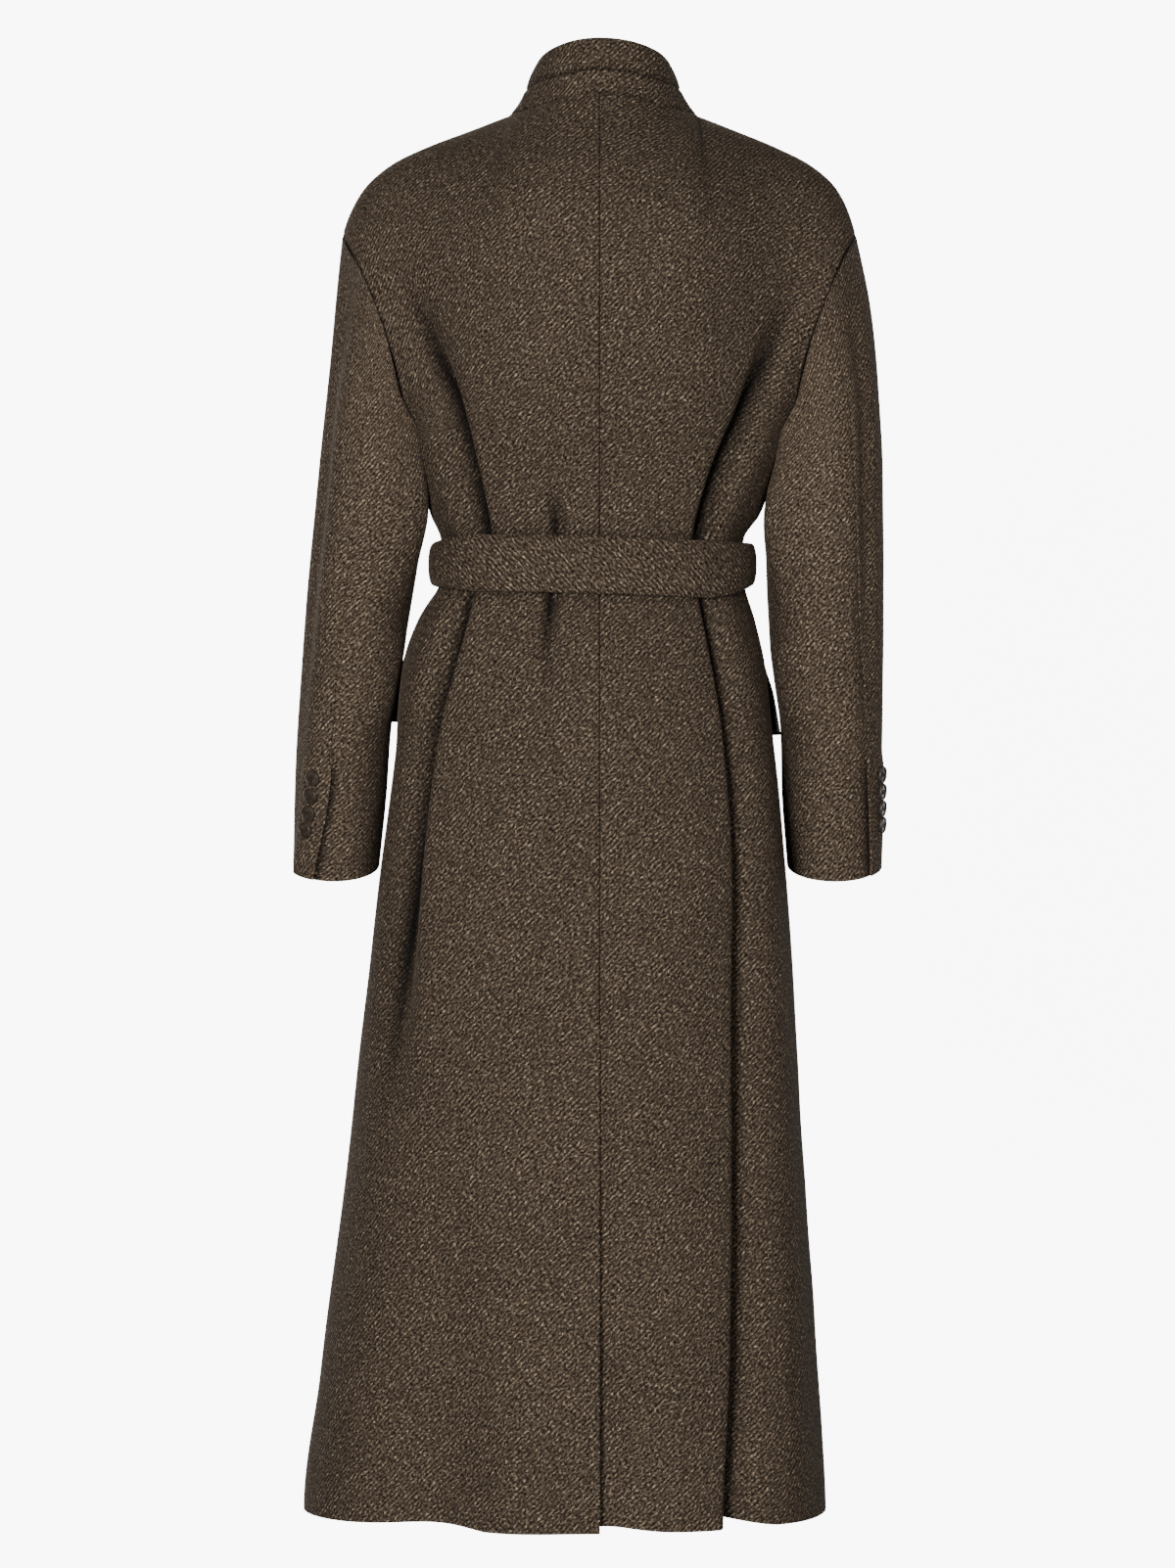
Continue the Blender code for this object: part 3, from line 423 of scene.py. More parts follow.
# Finer sizes of the dressed cloth
EDGE_ROUND, BELT_ROUND, COLLAR_ROUND = 0.0007, 0.0016, 0.0013
EDGE_STEPS = np.array([0.0, 0.006, 0.012, 0.020])
PANEL_WIDTH = 0.20
PANEL_COLUMNS = {BACK: (36, 14, 46, 22), FRONT: (44, 14, 34, 22)}
TROUGH_RANGE, TROUGH_INNER, TROUGH_OUTER, TROUGH_BELT_GAP = (0.30, 0.86), 0.10, 0.13, 0.006
INNER_ROUND = 0.6
RIM_IN, RIM_IN_SEWN, RIM_DOWN, RIM_DOWN_SEWN = 0.3, 0.5, 0.12, 0.6
SLEEVE_EDGE, SLEEVE_SEAM_SHARE, FLAP_TUCK = 1.7, 0.45, 0.0024
ARMHOLE_BOW, BOW_WIDTH, BOW_AT_BACK = 0.010, 0.035, (-0.01, -0.05)
SEWN_GAP, SLEEVE_JOIN, SLEEVE_SEWN_ANGLE = -0.0002, -0.0012, -0.04
SEAM_DEPTH, SEAM_WIDTH, CENTRE_SEAM_SHARE = 0.0009, 0.0024, 0.6
EDGE_CLOSE, SEAM_CLOSE, SEAM_OPEN, COLLAR_TUCK = 0.45, 1.6, 0.10, 0.0026
# Painted shade: a darker copy of the cloth on the walls of seam grooves; painted light: a brighter copy of the cloth
# on the sleeves
SEAM_PAINTED_SHADE, SLEEVE_PAINTED_LIGHT = 0.40, 1.24
WAVE_COUNT, WAVE_LONGEST, GOLDEN_TURN, WAVE_HEIGHT = 5, 20.0, 2.39996, 0.0007
WAVE_STEP, WAVE_FADE, WAVE_PHASE, WAVE_SUM, WAVE_LEAN = 0.7, 0.5, 5, 2.5, 0.6
WEAVE_RISE = 0.37
CREASED_FOLDS, PINCHED_FOLDS = 4, {BACK: 5, FRONT: 4}
FOLDS_END = (1.0, 0.93)
LIP_AT, LIP_WIDTH, LIP_LEAN, LIP_SHARP = 0.9, 1.0, 0.25, 0.60
OUTER_SHARP, PINCH_SHARP, PINCH_DEEPEN = 0.60, 0.50, 1.4
RIDGE, RIDGE_AT, RIDGE_WIDTH = 0.16, 1.20, 0.55
COLLAR_BULGE = 0.0012
KNOT_WALL, KNOT_CREASE = 0.0045, 0.0007
BUTTON_HOLE, BUTTON_HOLE_OUT, THREAD = 0.0008, 0.0021, 0.00035

# Painted shade in folds, along seams and contact lines, and a painted highlight on the crest of the sleeves' creases
PAINTED_SHADE_TONE, PAINTED_SHADE_IN, PAINTED_SHADE_FULL, PAINTED_SHADE_SHIFT = 0.07, 0.0055, 0.015, 0.0035
PAINTED_SHADE_OUT = {BACK: (0.33, 0.38, 0.28, 0.24), FRONT: (0.30, 0.30, 0.30, 0.30)}
PINCH_IN, PINCH_OUT, PINCH_FULL = 0.0040, (0.35,), 0.007
SEAM_SHADE, BELT_SHADE, BELT_SHADE_WIDTH = 0.25, 0.40, 0.006
FOOT_SHADE, FOOT_WIDTH, ARM_SHADE, ARM_WIDTH = 0.55, 0.09, 0.80, 0.0016
VENT_SHADE, VENT_WIDTH, SLEEVE_SHADE = 0.85, 6.0, 0.38
CREST_AT, CREST_WIDTH, CREST_PAINTED_HIGHLIGHT, CREST_FULL = 13.0, 3.2, 0.30, 0.004

# The cut of each piece of cloth: its width and length in metres, its area in square metres where it
# isn't a rectangle, how it is held and by what
Sheet = namedtuple("Sheet", "node width length area held rests_on")
SHEETS = [
    Sheet("back_left", 0.36, 1.27, 0.35, "hung", ["front_left", "collar_stand"]),
    Sheet("back_right", 0.38, 1.27, 0.36, "hung", ["front_right", "collar_stand"]),
    Sheet("front_left", 0.44, 1.26, 0.43, "hung", ["back_left", "collar_stand"]),
    Sheet("front_right", 0.42, 1.26, 0.41, "hung", ["back_right", "collar_stand"]),
    Sheet("collar_stand", 0.46, 0.032, None, "stretched", ["back_left", "back_right"]),
    Sheet("collar_leaf", 0.42, 0.031, None, "stretched", ["collar_stand"]),
    Sheet("sleeve_left_top", 0.24, 0.57, 0.100, "hung", ["back_left", "front_left"]),
    Sheet("sleeve_left_under", 0.16, 0.50, 0.065, "hung", ["sleeve_left_top"]),
    Sheet("sleeve_right_top", 0.24, 0.57, 0.094, "hung", ["back_right", "front_right"]),
    Sheet("sleeve_right_under", 0.19, 0.50, 0.076, "hung", ["sleeve_right_top"]),
    Sheet("belt", 0.80, 0.048, None, "stretched", ["back_left", "back_right", "front_left", "front_right"]),
    Sheet("belt_knot", 0.036, 0.075, None, "folded", ["belt"]),
    Sheet("belt_end_left", 0.050, 0.265, None, "hung", ["belt_knot"]),
    Sheet("belt_end_right", 0.050, 0.300, None, "hung", ["belt_knot"]),
    Sheet("pocket_flap_left", 0.135, 0.062, None, "hung", ["front_left"]),
    Sheet("pocket_flap_right", 0.125, 0.062, None, "hung", ["front_right"]),
]

# Tweed: sizes of its grains and wales in metres, and linear colours
TWILL_PERIOD, GRAIN_LENGTH, GRAIN_WIDTH = 0.0050, 0.0027, 0.0016
CLOTH_DRIFT_SCALE, CLOTH_DRIFT = 22.0, 0.005
YARN_DRIFT_SCALE, YARN_DRIFT = 170.0, 0.0022
GRAIN_TONES = [
    (0.30, (0.008, 0.005, 0.0032)), (0.43, (0.040, 0.0272, 0.0180)),
    (0.57, (0.088, 0.0625, 0.0425)), (0.70, (0.190, 0.142, 0.099)),
]
FLECK_TONE, FLECK_FROM, FLECK_TO = (0.330, 0.262, 0.178), 0.60, 0.72
FLECK_SHIFT, FLECK_SCALE = (31.7, 12.9, 0.0), 0.8
WALE_HEIGHT, GRAIN_HEIGHT = 0.5, 0.9
CLOTH_ROUGHNESS, CLOTH_SPECULAR = 0.94, 0.20
WALE_TONES = (0.54, 1.36)
FUZZ_SCALE, FUZZ_TONES, FUZZ_HEIGHT = 1000.0, (0.66, 1.34), 0.45
PATCH_SCALE, PATCH_TONES = 11.0, (0.86, 1.14)
STREAK_SCALE, STREAK_TONES = 60.0, (0.84, 1.16)
BUMP_STRENGTH, BUMP_DISTANCE = 0.7, 0.0008
SHEEN_WEIGHT, SHEEN_ROUGHNESS, SHEEN_TINT = 0.10, 0.28, (0.85, 0.68, 0.52)
HORN_TONES = [(0.30, (0.030, 0.023, 0.017)), (0.55, (0.055, 0.041, 0.030)), (0.75, (0.100, 0.074, 0.052))]
HORN_SCALE, HORN_DETAIL, HORN_GLOSS = 260.0, 4.0, (0.28, 0.46)
HORN_BUMP, HORN_BUMP_DISTANCE = 0.15, 0.0002
THREAD_SCALE, THREAD_ROUGHNESS = 2500.0, 0.85
THREAD_TONES = [(0.3, (0.012, 0.009, 0.007)), (0.7, (0.035, 0.025, 0.018))]

# Studio: the view is as tall as the photograph's frame at the middle of the coat
SENSOR, CAMERA_DISTANCE, VIEW_HEIGHT = 36.0, 5.0, 1.394
CAMERA_X, CAMERA_Z = -0.0104, -0.595
FLOOR, COVE_START, COVE_ROUND, COVE_HALF_WIDTH = -1.42, 1.6, 1.2, 6.0
FLOOR_START, BACKDROP_TOP = -9.0, 5.0
FLOOR_COLOUR, FLOOR_GLOW, FLOOR_ROUGHNESS = (0.95, 0.95, 0.95), 9.0, 0.9
WORLD_LIGHT = 0.06
MIDDLE = (0.0, 0.0, -0.55)
LIGHTS = [
    ("key", (-1.1, -4.6, -0.2), MIDDLE, (1.0, 1.2), 200.0),
    ("fill", (1.6, -4.5, -0.5), MIDDLE, (1.2, 1.6), 55.0),
    ("rim_left", (-1.5, 1.8, -0.4), MIDDLE, (0.5, 2.2), 16.0),
    ("rim_right", (1.5, 1.8, -0.4), MIDDLE, (0.5, 2.2), 16.0),
]


def smooth(value, places, sizes, level=True):
    """A smooth curve through sizes at rising places, level at its ends and beyond unless told not to."""
    places, sizes = np.asarray(places, float), np.asarray(sizes, float)
    slopes = np.gradient(sizes, places)
    if level:
        slopes[0] = slopes[-1] = 0.0
        value = np.clip(value, places[0], places[-1])
    i = np.clip(np.searchsorted(places, value) - 1, 0, len(places) - 2)
    span = places[i + 1] - places[i]
    s = (value - places[i]) / span
    rise = s * s * (3 - 2 * s)
    bend_in = s * (1 - s) ** 2 * span * slopes[i]
    bend_out = s * s * (s - 1) * span * slopes[i + 1]
    return sizes[i] + (sizes[i + 1] - sizes[i]) * rise + bend_in + bend_out


def read(table, key, name, value):
    """A named column of a table, at any value of its key column."""
    rows = sorted(table, key=lambda row: getattr(row, key))
    return smooth(value, [getattr(r, key) for r in rows], [getattr(r, name) for r in rows])


def ease(value, start, end):
    """0 before start, 1 after end, and a soft step between them."""
    s = np.clip((value - start) / (end - start), 0.0, 1.0)
    return s * s * (3 - 2 * s)


def bell(away, width):
    """1 at the middle, falling away softly on both sides."""
    return np.exp(-((away / width) ** 2))


def height_of(up):
    """Height of a level of the body below the underarm."""
    return HEM + np.clip(up, 0, 1) * (UNDERARM - HEM)


def level_at(height):
    """Level of a height of the body below the underarm."""
    return (height - HEM) / (UNDERARM - HEM)


def points(x, y, z):
    return np.stack(np.broadcast_arrays(x, y, z), axis=-1).astype(float)


def bezier(p0, p1, p2, p3, s):
    s = np.asarray(s)[..., None]
    return p0 * (1 - s) ** 3 + 3 * p1 * s * (1 - s) ** 2 + 3 * p2 * s**2 * (1 - s) + p3 * s**3


def unit(vectors):
    return vectors / np.maximum(np.linalg.norm(vectors, axis=-1, keepdims=True), 1e-12)


def collar_ring(ring, turn):
    """A point of a collar ring at a turn from centre back, positive towards the right."""
    c, s = np.cos(turn), np.sin(turn)
    depth = np.where(c > 0, ring.back, ring.front)
    back = (ring.rise_back - ring.rise_side) * np.maximum(c, 0) ** ring.peak
    front = (ring.rise_front - ring.rise_side) * np.maximum(-c, 0) ** FRONT_PEAK
    rise = ring.rise_side + back + front
    return points(ring.half_width * s + NECK_SHIFT * np.abs(s), ring.middle - depth * c, rise)


def armhole(side, face, angle):
    """The armhole's edge, from the shoulder tip (0) round to the underarm (pi)."""
    tip, under = np.array(SHOULDER_TIP), np.array(ARMHOLE_UNDER)
    middle, lean = (tip + under) / 2, (tip - under) / 2
    x = side * (middle[0] + lean[0] * np.cos(angle))
    z = middle[1] + lean[1] * np.cos(angle)
    return points(x, face * ARMHOLE_DEPTH * np.sin(angle), z)


def top_edge(face, side, across):
    """The panel's top edge: half the back or front neck, then the shoulder seam."""
    centre = 0.0 if face == BACK else math.pi
    turn = centre + (math.pi / 2 - centre) * np.clip(across / NECK_SHARE, 0, 1)
    neck = collar_ring(NECK_SEAM, side * turn)
    out = np.array([p.out for p in SHOULDER])
    height = np.array([p.height for p in SHOULDER])
    run = np.concatenate([[0], np.cumsum(np.hypot(np.diff(out), np.diff(height)))])
    share = np.clip((across - NECK_SHARE) / (1 - NECK_SHARE), 0, 1)
    x = side * smooth(share * run[-1], run, out) + NECK_SHIFT * (1 - share)
    y = NECK_SEAM.middle * (1 - share)
    shoulder = points(x, y, smooth(share * run[-1], run, height))
    return np.where((across < NECK_SHARE)[..., None], neck, shoulder)


def section(face, side, across, up):
    """A point of a panel without its folds, from the hem to the shoulder blades."""
    climb = np.clip(up - 1, 0, 1)
    low = height_of(up)
    height = low + climb * (BLADE[face] - UNDERARM)
    depth = read(BODY, "height", "back" if face == BACK else "front", height)
    half = np.where(side < 0, read(BODY, "height", "left", low), read(BODY, "height", "right", low))
    seam = points(side * half, 0.0, low)
    arm = armhole(side, face, math.pi * (1 - climb / 2))
    edge = np.where((up > 1)[..., None], arm, seam)
    centre = points(0.0 * depth, face * depth, height)
    reach = np.abs(edge[..., 0])
    first = centre + points(side * CENTRE_HANDLE * reach, 0.0, 0.0)
    turn = climb * math.pi / 2
    arrive = points(side * np.sin(turn), -face * np.cos(turn), 0.0)
    last = edge - arrive * (SIDE_HANDLE * depth * (1 - SIDE_HANDLE_LOSS * climb))[..., None]
    return bezier(centre, first, last, edge, across)


def panel(face, side, across, up):
    """A point of a panel without its folds. Below 0 across it runs on over the other half."""
    side = np.where(across < 0, -side, side)
    across = np.abs(across)
    start = section(face, side, across, np.minimum(up, 2.0))
    level = np.full_like(across, 2.0)
    rising = (section(face, side, across, level) - section(face, side, across, level - STEP)) / STEP
    right = (side > 0)[..., None]
    end = np.where(right, top_edge(face, RIGHT, across), top_edge(face, LEFT, across))
    to_neck = ease(across, NECK_SHARE, 0.0)
    tilt = NECK_RISE_AT_SIDE * ease(across, NECK_RISE_FROM, NECK_SHARE)
    tilt = tilt + (NECK_RISE_AT_CENTRE - NECK_RISE_AT_SIDE) * to_neck
    blade = section(face, side, across, level)
    roll = SHOULDER_ROLL * np.abs(end[..., 1] - blade[..., 1]) + NECK_ROLL * to_neck
    arrive = points(0.0, -face * np.cos(tilt), np.sin(tilt))
    first, last = blade + rising * BLADE_HANDLE, end - arrive * roll[..., None]
    yoke = bezier(blade, first, last, end, np.clip(up - 2, 0, 1))
    return np.where((up > 2)[..., None], yoke, start)


def folds_of(face):
    """The creased, the pinched and the soft folds of the back or the front."""
    folds, pinched = BACK_FOLDS if face == BACK else FRONT_FOLDS, PINCHED_FOLDS[face]
    return folds[:CREASED_FOLDS], folds[CREASED_FOLDS:pinched], folds[pinched:]


def trough(fold, x, z):
    """The side that a fold lies on, how far beyond its trough each place lies, and its depth."""
    place = read(fold, "height", "across", z)
    side = np.sign(place)
    return side, (x - place) * side, read(fold, "height", "depth", z)


def fold_depth(folds, x, z, sharp=1.0, sharp_outer=1.0, ridge=0.0):
    """How far the folds move the cloth out (in is negative) at a place seen from behind."""
    moved = np.zeros_like(x)
    for fold in folds:
        away, depth = trough(fold, x, z)[1:]
        outer = read(fold, "height", "outer", z)
        width = np.where(away > 0, outer * sharp_outer, read(fold, "height", "inner", z) * sharp)
        beside = bell(away / outer - RIDGE_AT, RIDGE_WIDTH)
        moved = moved - depth * (bell(away, width) - ridge * beside)
    return moved


def fold_lean(folds, x, z):
    """How far the inner lip of each fold leans over its trough, towards the side of the body."""
    leant = np.zeros_like(x)
    for fold in folds:
        side, away, depth = trough(fold, x, z)
        lip = depth * bell(away / read(fold, "height", "inner", z) + LIP_AT, LIP_WIDTH)
        leant = leant + LIP_LEAN * side * lip
    return leant


def fold_shade(folds, x, z, inner, outer, full):
    """How much painted shade folds get, from 0 to 1: sharp along the inner lip and fading towards the side."""
    dark = np.zeros_like(x)
    for fold, spread in zip(folds, outer):
        away, depth = trough(fold, x, z)[1:]
        away = away - PAINTED_SHADE_SHIFT
        width = np.where(away > 0, spread * read(fold, "height", "outer", z), inner)
        dark = np.maximum(dark, np.clip(depth / full, 0.0, 1.0) * bell(away, width))
    return dark


def normals(surface, across, up, outwards):
    """Outward unit normals of a surface of two running values."""
    ahead = surface(np.minimum(across + STEP, 1.0), up) - surface(across - STEP, up)
    above = surface(across, np.minimum(up + STEP, 3.0)) - surface(across, np.maximum(up - STEP, 0))
    return unit(np.cross(ahead, above)) * outwards


def body_panel(face, side, offset=None, pinch=PINCH_DEEPEN):
    """The surface of one of the four body panels, with its folds."""
    creased, pinched, soft = folds_of(face)
    outwards = -face * side
    bare = partial(panel, face, side)

    def surface(across, up):
        base = bare(across, up)
        x, z = base[..., 0], base[..., 2]
        near_seam = ease(across, *FOLDS_END)
        moved = fold_depth(creased, x, z, LIP_SHARP, OUTER_SHARP, RIDGE) + fold_depth(soft, x, z)
        moved = (moved + pinch * fold_depth(pinched, x, z, PINCH_SHARP, PINCH_SHARP)) * near_seam
        if offset is not None:
            moved = moved + offset(x, z)
        made = base + normals(bare, across, up, outwards) * moved[..., None]
        beside = unit(bare(np.minimum(across + STEP, 1.0), up) - bare(across - STEP, up)) * side
        made = made + beside * (fold_lean(creased, x, z) * near_seam)[..., None]
        made[..., 2] += HEM_LIFT * np.maximum(-moved, 0) * ease(z, HEM + HEM_LIFT_HEIGHT, HEM)
        return made

    return surface, outwards


def vent_offset(x, z):
    """The right back runs in under the left one below the top of the vent."""
    return fold_depth([VENT_RECESS], x, z)


def lap_offset(x, z):
    """The left front lies under the right one where they lap."""
    edge = FRONT_LAP + (FRONT_LAP_AT_NECK - FRONT_LAP) * ease(z, *LAP_NARROWS)
    return -LAP_DEPTH * ease(x, -edge - LAP_STEP[0], -edge - LAP_STEP[1])


def drawn_in(values, share, axis):
    """Running values drawn in towards the middle of their own range."""
    first, last = np.take(values, [0], axis), np.take(values, [-1], axis)
    middle = (first + last) / 2
    return middle + (values - middle) * (1 - share)


def shares_at(face, side, up, x, shares):
    """Shares across at which each level reaches a distance from the centre line."""
    found = []
    for level, distance in zip(up, x):
        row = panel(face, side, shares, np.full_like(shares, level))
        found.append(np.interp(distance, side * row[:, 0], shares))
    return np.array(found)


def trough_share(face, side, up):
    """Share across of the deepest trough at each level, so that columns of points follow it."""
    heights = height_of(up) + np.clip(up - 1, 0, 1) * (BLADE[face] - UNDERARM)
    mine = [fold for fold in folds_of(face)[0] if np.sign(fold[0].across) == side]
    rows = [row for fold in mine for row in fold if abs(row.height - BELT_HEIGHT) > TROUGH_BELT_GAP]
    place = np.interp(heights, *zip(*sorted((row.height, abs(row.across)) for row in rows)))
    share = shares_at(face, side, np.minimum(up, 2.0), place, np.linspace(0.0, 1.0, 81))
    return np.clip(share, *TROUGH_RANGE)


def from_crease(side, angle, along):
    """Degrees round a sleeve from its crease."""
    return angle - read(SLEEVE_FOLD, "along", "angle", along) - CREASE_TURN[side]


def sleeve_surface(side, lap=False):
    """A sleeve: degrees round it from the outer side (0) by the back (90), and share along it."""
    index = np.arange(len(SLEEVES[side]))
    columns = {name: [getattr(row, name) for row in SLEEVES[side]] for name in Sleeve._fields}

    def at(name, along):
        curve = np.interp if name == "hind_seam" else partial(smooth, level=False)
        return curve(along * index[-1], index, columns[name])

    def surface(angle, along):
        turn = np.radians(angle)
        c, s = np.cos(turn), np.sin(turn)
        outer = points(at("outer", along), 0.0, at("outer_height", along))
        inner = points(at("inner", along), 0.0, at("inner_height", along))
        ring = (outer + inner) / 2 + (outer - inner) / 2 * c[..., None]
        depth = at("depth", along)
        width = read(SLEEVE_FOLD, "along", "width", along)
        rise = -read(SLEEVE_FOLD, "along", "depth", along) * bell(from_crease(side, angle, along), width)
        if lap:
            edge = at("hind_seam", along)
            lapped = ease(angle, edge - CUFF_LAP_FROM, edge - CUFF_LAP_TO)
            vent = ease(along, CUFF_VENT_START - 0.01, CUFF_VENT_START + CUFF_VENT_EASE)
            rise = rise + CUFF_LAP_RISE * lapped * vent
        half = np.maximum(np.abs(outer - inner)[..., 0] / 2, SLEEVE_LEAST_HALF)
        outward = unit(points(c / half, -s / depth, 0.0))
        tuck = SLEEVE_TUCK * ease(along, *TUCK_START) * ease(along, *TUCK_END)
        tuck = tuck + LOW_TUCK * ease(along, *LOW_TUCK_START) * ease(along, *LOW_TUCK_END)
        x = ring[..., 0] + outward[..., 0] * rise - tuck * bell(angle - TUCK_ANGLE, TUCK_WIDTH)
        y = at("middle", along) - depth * s + outward[..., 1] * rise
        z = ring[..., 2] - at("drop", along) * s
        return points(side * x, y, z)

    return surface, at


def sleeve_normals(surface, angle, along, side):
    ahead = surface(angle + ANGLE_STEP, along) - surface(angle - ANGLE_STEP, along)
    further = surface(angle, np.minimum(along + STEP, 1)) - surface(angle, np.maximum(along - STEP, 0))
    return unit(np.cross(ahead, further)) * side


def belt_line(turn):
    """Middle of the belt's inner face, a waist oval at a turn from centre back."""
    places, out = [], []
    for t in turn:
        side = RIGHT if t >= 0 else LEFT
        face = BACK if abs(t) <= 1 else FRONT
        across = abs(t) if face == BACK else 2 - abs(t)
        here = np.array([across]), np.array([level_at(BELT_HEIGHT)])
        surface = partial(panel, face, side)
        normal = normals(surface, *here, -face * side)
        normal[..., 2] = 0
        places.append(surface(*here)[0])
        out.append(unit(normal)[0])
    return np.array(places), np.array(out)


def unevenness(x, z, seed):
    """The slight waves of heavy cloth, between about -1 and 1."""
    total = np.zeros_like(x)
    for k in range(WAVE_COUNT):
        turn = seed + k * GOLDEN_TURN
        wave = WAVE_LONGEST * (1 + WAVE_STEP * k)
        run = (x * np.cos(turn) + z * np.sin(turn)) * wave + WAVE_PHASE * turn
        total = total + np.sin(run) / (1 + WAVE_FADE * k)
    return total / WAVE_SUM


def along_rows(grid):
    """Distance of each point from the first point of its row."""
    steps = np.linalg.norm(np.diff(grid, axis=1), axis=-1)
    return np.concatenate([np.zeros((len(grid), 1)), np.cumsum(steps, axis=1)], axis=1)


def along_columns(grid):
    return along_rows(grid.swapaxes(0, 1)).T


def from_centre(grid, across):
    """Distance along each row from the place where it crosses the centre line."""
    run = along_rows(grid)
    start = [np.interp(0.0, shares, distances) for shares, distances in zip(across, run)]
    return run - np.array(start)[:, None]


def climbed(grid):
    """Distance up the cloth, without the sideways drift of the columns."""
    steps = np.hypot(np.diff(grid[..., 1], axis=0), np.diff(grid[..., 2], axis=0))
    steps = np.sign(grid[-1, 0, 2] - grid[0, 0, 2]) * steps
    return np.concatenate([np.zeros((1, grid.shape[1])), np.cumsum(steps, axis=0)], axis=0)


def climbed_evenly(surface, across, up):
    """Distance up a surface along lines of even share across, read at a grid's own shares."""
    shares = np.linspace(0, 1, 41)
    lines = climbed(surface(*np.meshgrid(shares, up[:, 0])))
    return np.array([np.interp(np.abs(row), shares, line) for row, line in zip(across, lines)])


def pressed(grid, seams):
    """How far the cloth sinks beside its seams, and which of its edges are sewn.

    Seams name the grid's edges, with a share for the whole edge or for each row or column.
    """
    across, up = along_rows(grid), along_columns(grid)
    away = {
        "first_column": across,
        "last_column": across[:, -1:] - across,
        "first_row": up,
        "last_row": up[-1:] - up,
    }
    sunk = np.zeros(grid.shape[:2])
    sewn = np.zeros(grid.shape[:2])
    for edge, share in seams.items():
        share = np.asarray(share, float)
        share = share[:, None] if share.ndim and "column" in edge else share
        sunk = np.maximum(sunk, share * SEAM_DEPTH * bell(away[edge], SEAM_WIDTH))
        sewn = np.maximum(sewn, share * (away[edge] == 0))
    return sunk, sewn


def mesh_object(name, vertices, faces, uv, materials, slots=None, hollow=None):
    data = bpy.data.meshes.new(name)
    data.from_pydata(vertices.tolist(), [], faces.tolist())
    data.uv_layers.new(name="cloth").data.foreach_set("uv", uv.astype(np.float32).ravel())
    for material in materials:
        data.materials.append(material)
    if slots is not None:
        data.polygons.foreach_set("material_index", slots.astype(np.int32))
    if hollow is not None:
        # A point value of painted shade (above 0) and painted highlight (below 0) that darkens or lightens the cloth's
        # colour
        values = data.attributes.new("hollow", "FLOAT", "POINT").data
        values.foreach_set("value", hollow.astype(np.float32))
    data.shade_smooth()
    made = bpy.data.objects.new(name, data)
    bpy.context.scene.collection.objects.link(made)
    return made


def shell(name, outer, inner, out, uv, materials, round_by, sewn=None, hollow=None):
    """A closed cloth wall between two grids of points, with rounded edges."""
    rows, columns = outer.shape[:2]
    outer, inner = outer.copy(), inner.copy()
    index = np.arange(rows * columns).reshape(rows, columns)
    border = np.concatenate([index[0, :-1], index[:-1, -1], index[-1, :0:-1], index[:0:-1, 0]])
    away = np.zeros_like(outer)
    away[:, 0] += unit(outer[:, 0] - outer[:, 1])
    away[:, -1] += unit(outer[:, -1] - outer[:, -2])
    away[0] += unit(outer[0] - outer[1])
    away[-1] += unit(outer[-1] - outer[-2])
    away = unit(away).reshape(-1, 3)[border] * round_by
    down = -out.reshape(-1, 3)[border] * round_by
    flat_outer, flat_inner = outer.reshape(-1, 3), inner.reshape(-1, 3)
    edge, back = flat_outer[border], flat_inner[border]
    sewn = np.zeros(len(border)) if sewn is None else sewn.ravel()[border]
    flat_outer[border] -= away * (1 + SEAM_OPEN * sewn)[:, None]
    flat_inner[border] -= away * INNER_ROUND
    closing = edge + down * (EDGE_CLOSE + SEAM_CLOSE * sewn)[:, None]
    rim = edge - away * (RIM_IN + RIM_IN_SEWN * sewn)[:, None]
    rim = rim + down * (RIM_DOWN + RIM_DOWN_SEWN * sewn)[:, None]
    loops = [rim, closing, (closing + back) / 2, back - down * INNER_ROUND]
    count, length = rows * columns, len(border)
    quads = np.stack([index[:-1, :-1], index[:-1, 1:], index[1:, 1:], index[1:, :-1]], -1).reshape(-1, 4)
    rings = [border] + [2 * count + k * length + np.arange(length) for k in range(len(loops))]
    rings.append(border + count)
    walls = [np.stack([a, b, np.roll(b, -1), np.roll(a, -1)], -1) for a, b in zip(rings, rings[1:])]
    faces = np.concatenate([quads, quads[:, ::-1] + count, *walls])
    # Rim faces of sewn edges take the second material, a darker copy of the cloth painted as shade in the seam groove
    in_seam = np.tile(np.minimum(sewn, np.roll(sewn, -1)) > 0.5, len(walls))
    slots = np.concatenate([np.zeros(2 * len(quads)), in_seam])
    vertices = np.concatenate([flat_outer, flat_inner, *loops])
    middle = quads[len(quads) // 2]
    facing = np.cross(vertices[middle[1]] - vertices[middle[0]], vertices[middle[3]] - vertices[middle[0]])
    if facing @ out.reshape(-1, 3)[middle[0]] < 0:
        faces = faces[:, ::-1]
    flat_uv = uv.reshape(-1, 2)
    edge_uv = flat_uv[border]
    onward = np.roll(edge_uv, -1, 0) - edge_uv
    beside = unit(np.stack([onward[:, 1], -onward[:, 0]], -1))
    rim_uv = [edge_uv + beside * np.linalg.norm(loop - edge, axis=1, keepdims=True) for loop in loops]
    all_uv = np.concatenate([flat_uv, flat_uv, *rim_uv])
    if hollow is not None:
        outside = hollow.ravel()
        hollow = np.concatenate([outside, 0.0 * outside] + [outside[border]] * len(loops))
    return mesh_object(name, vertices, faces, all_uv[faces], materials, slots, hollow)


def dress(piece, node, slot="tweed"):
    """The piece stands for its solid and moves with it."""
    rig.replaces(piece, node)
    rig.ride(piece, "root")
    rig.slot(piece, slot)
    return piece


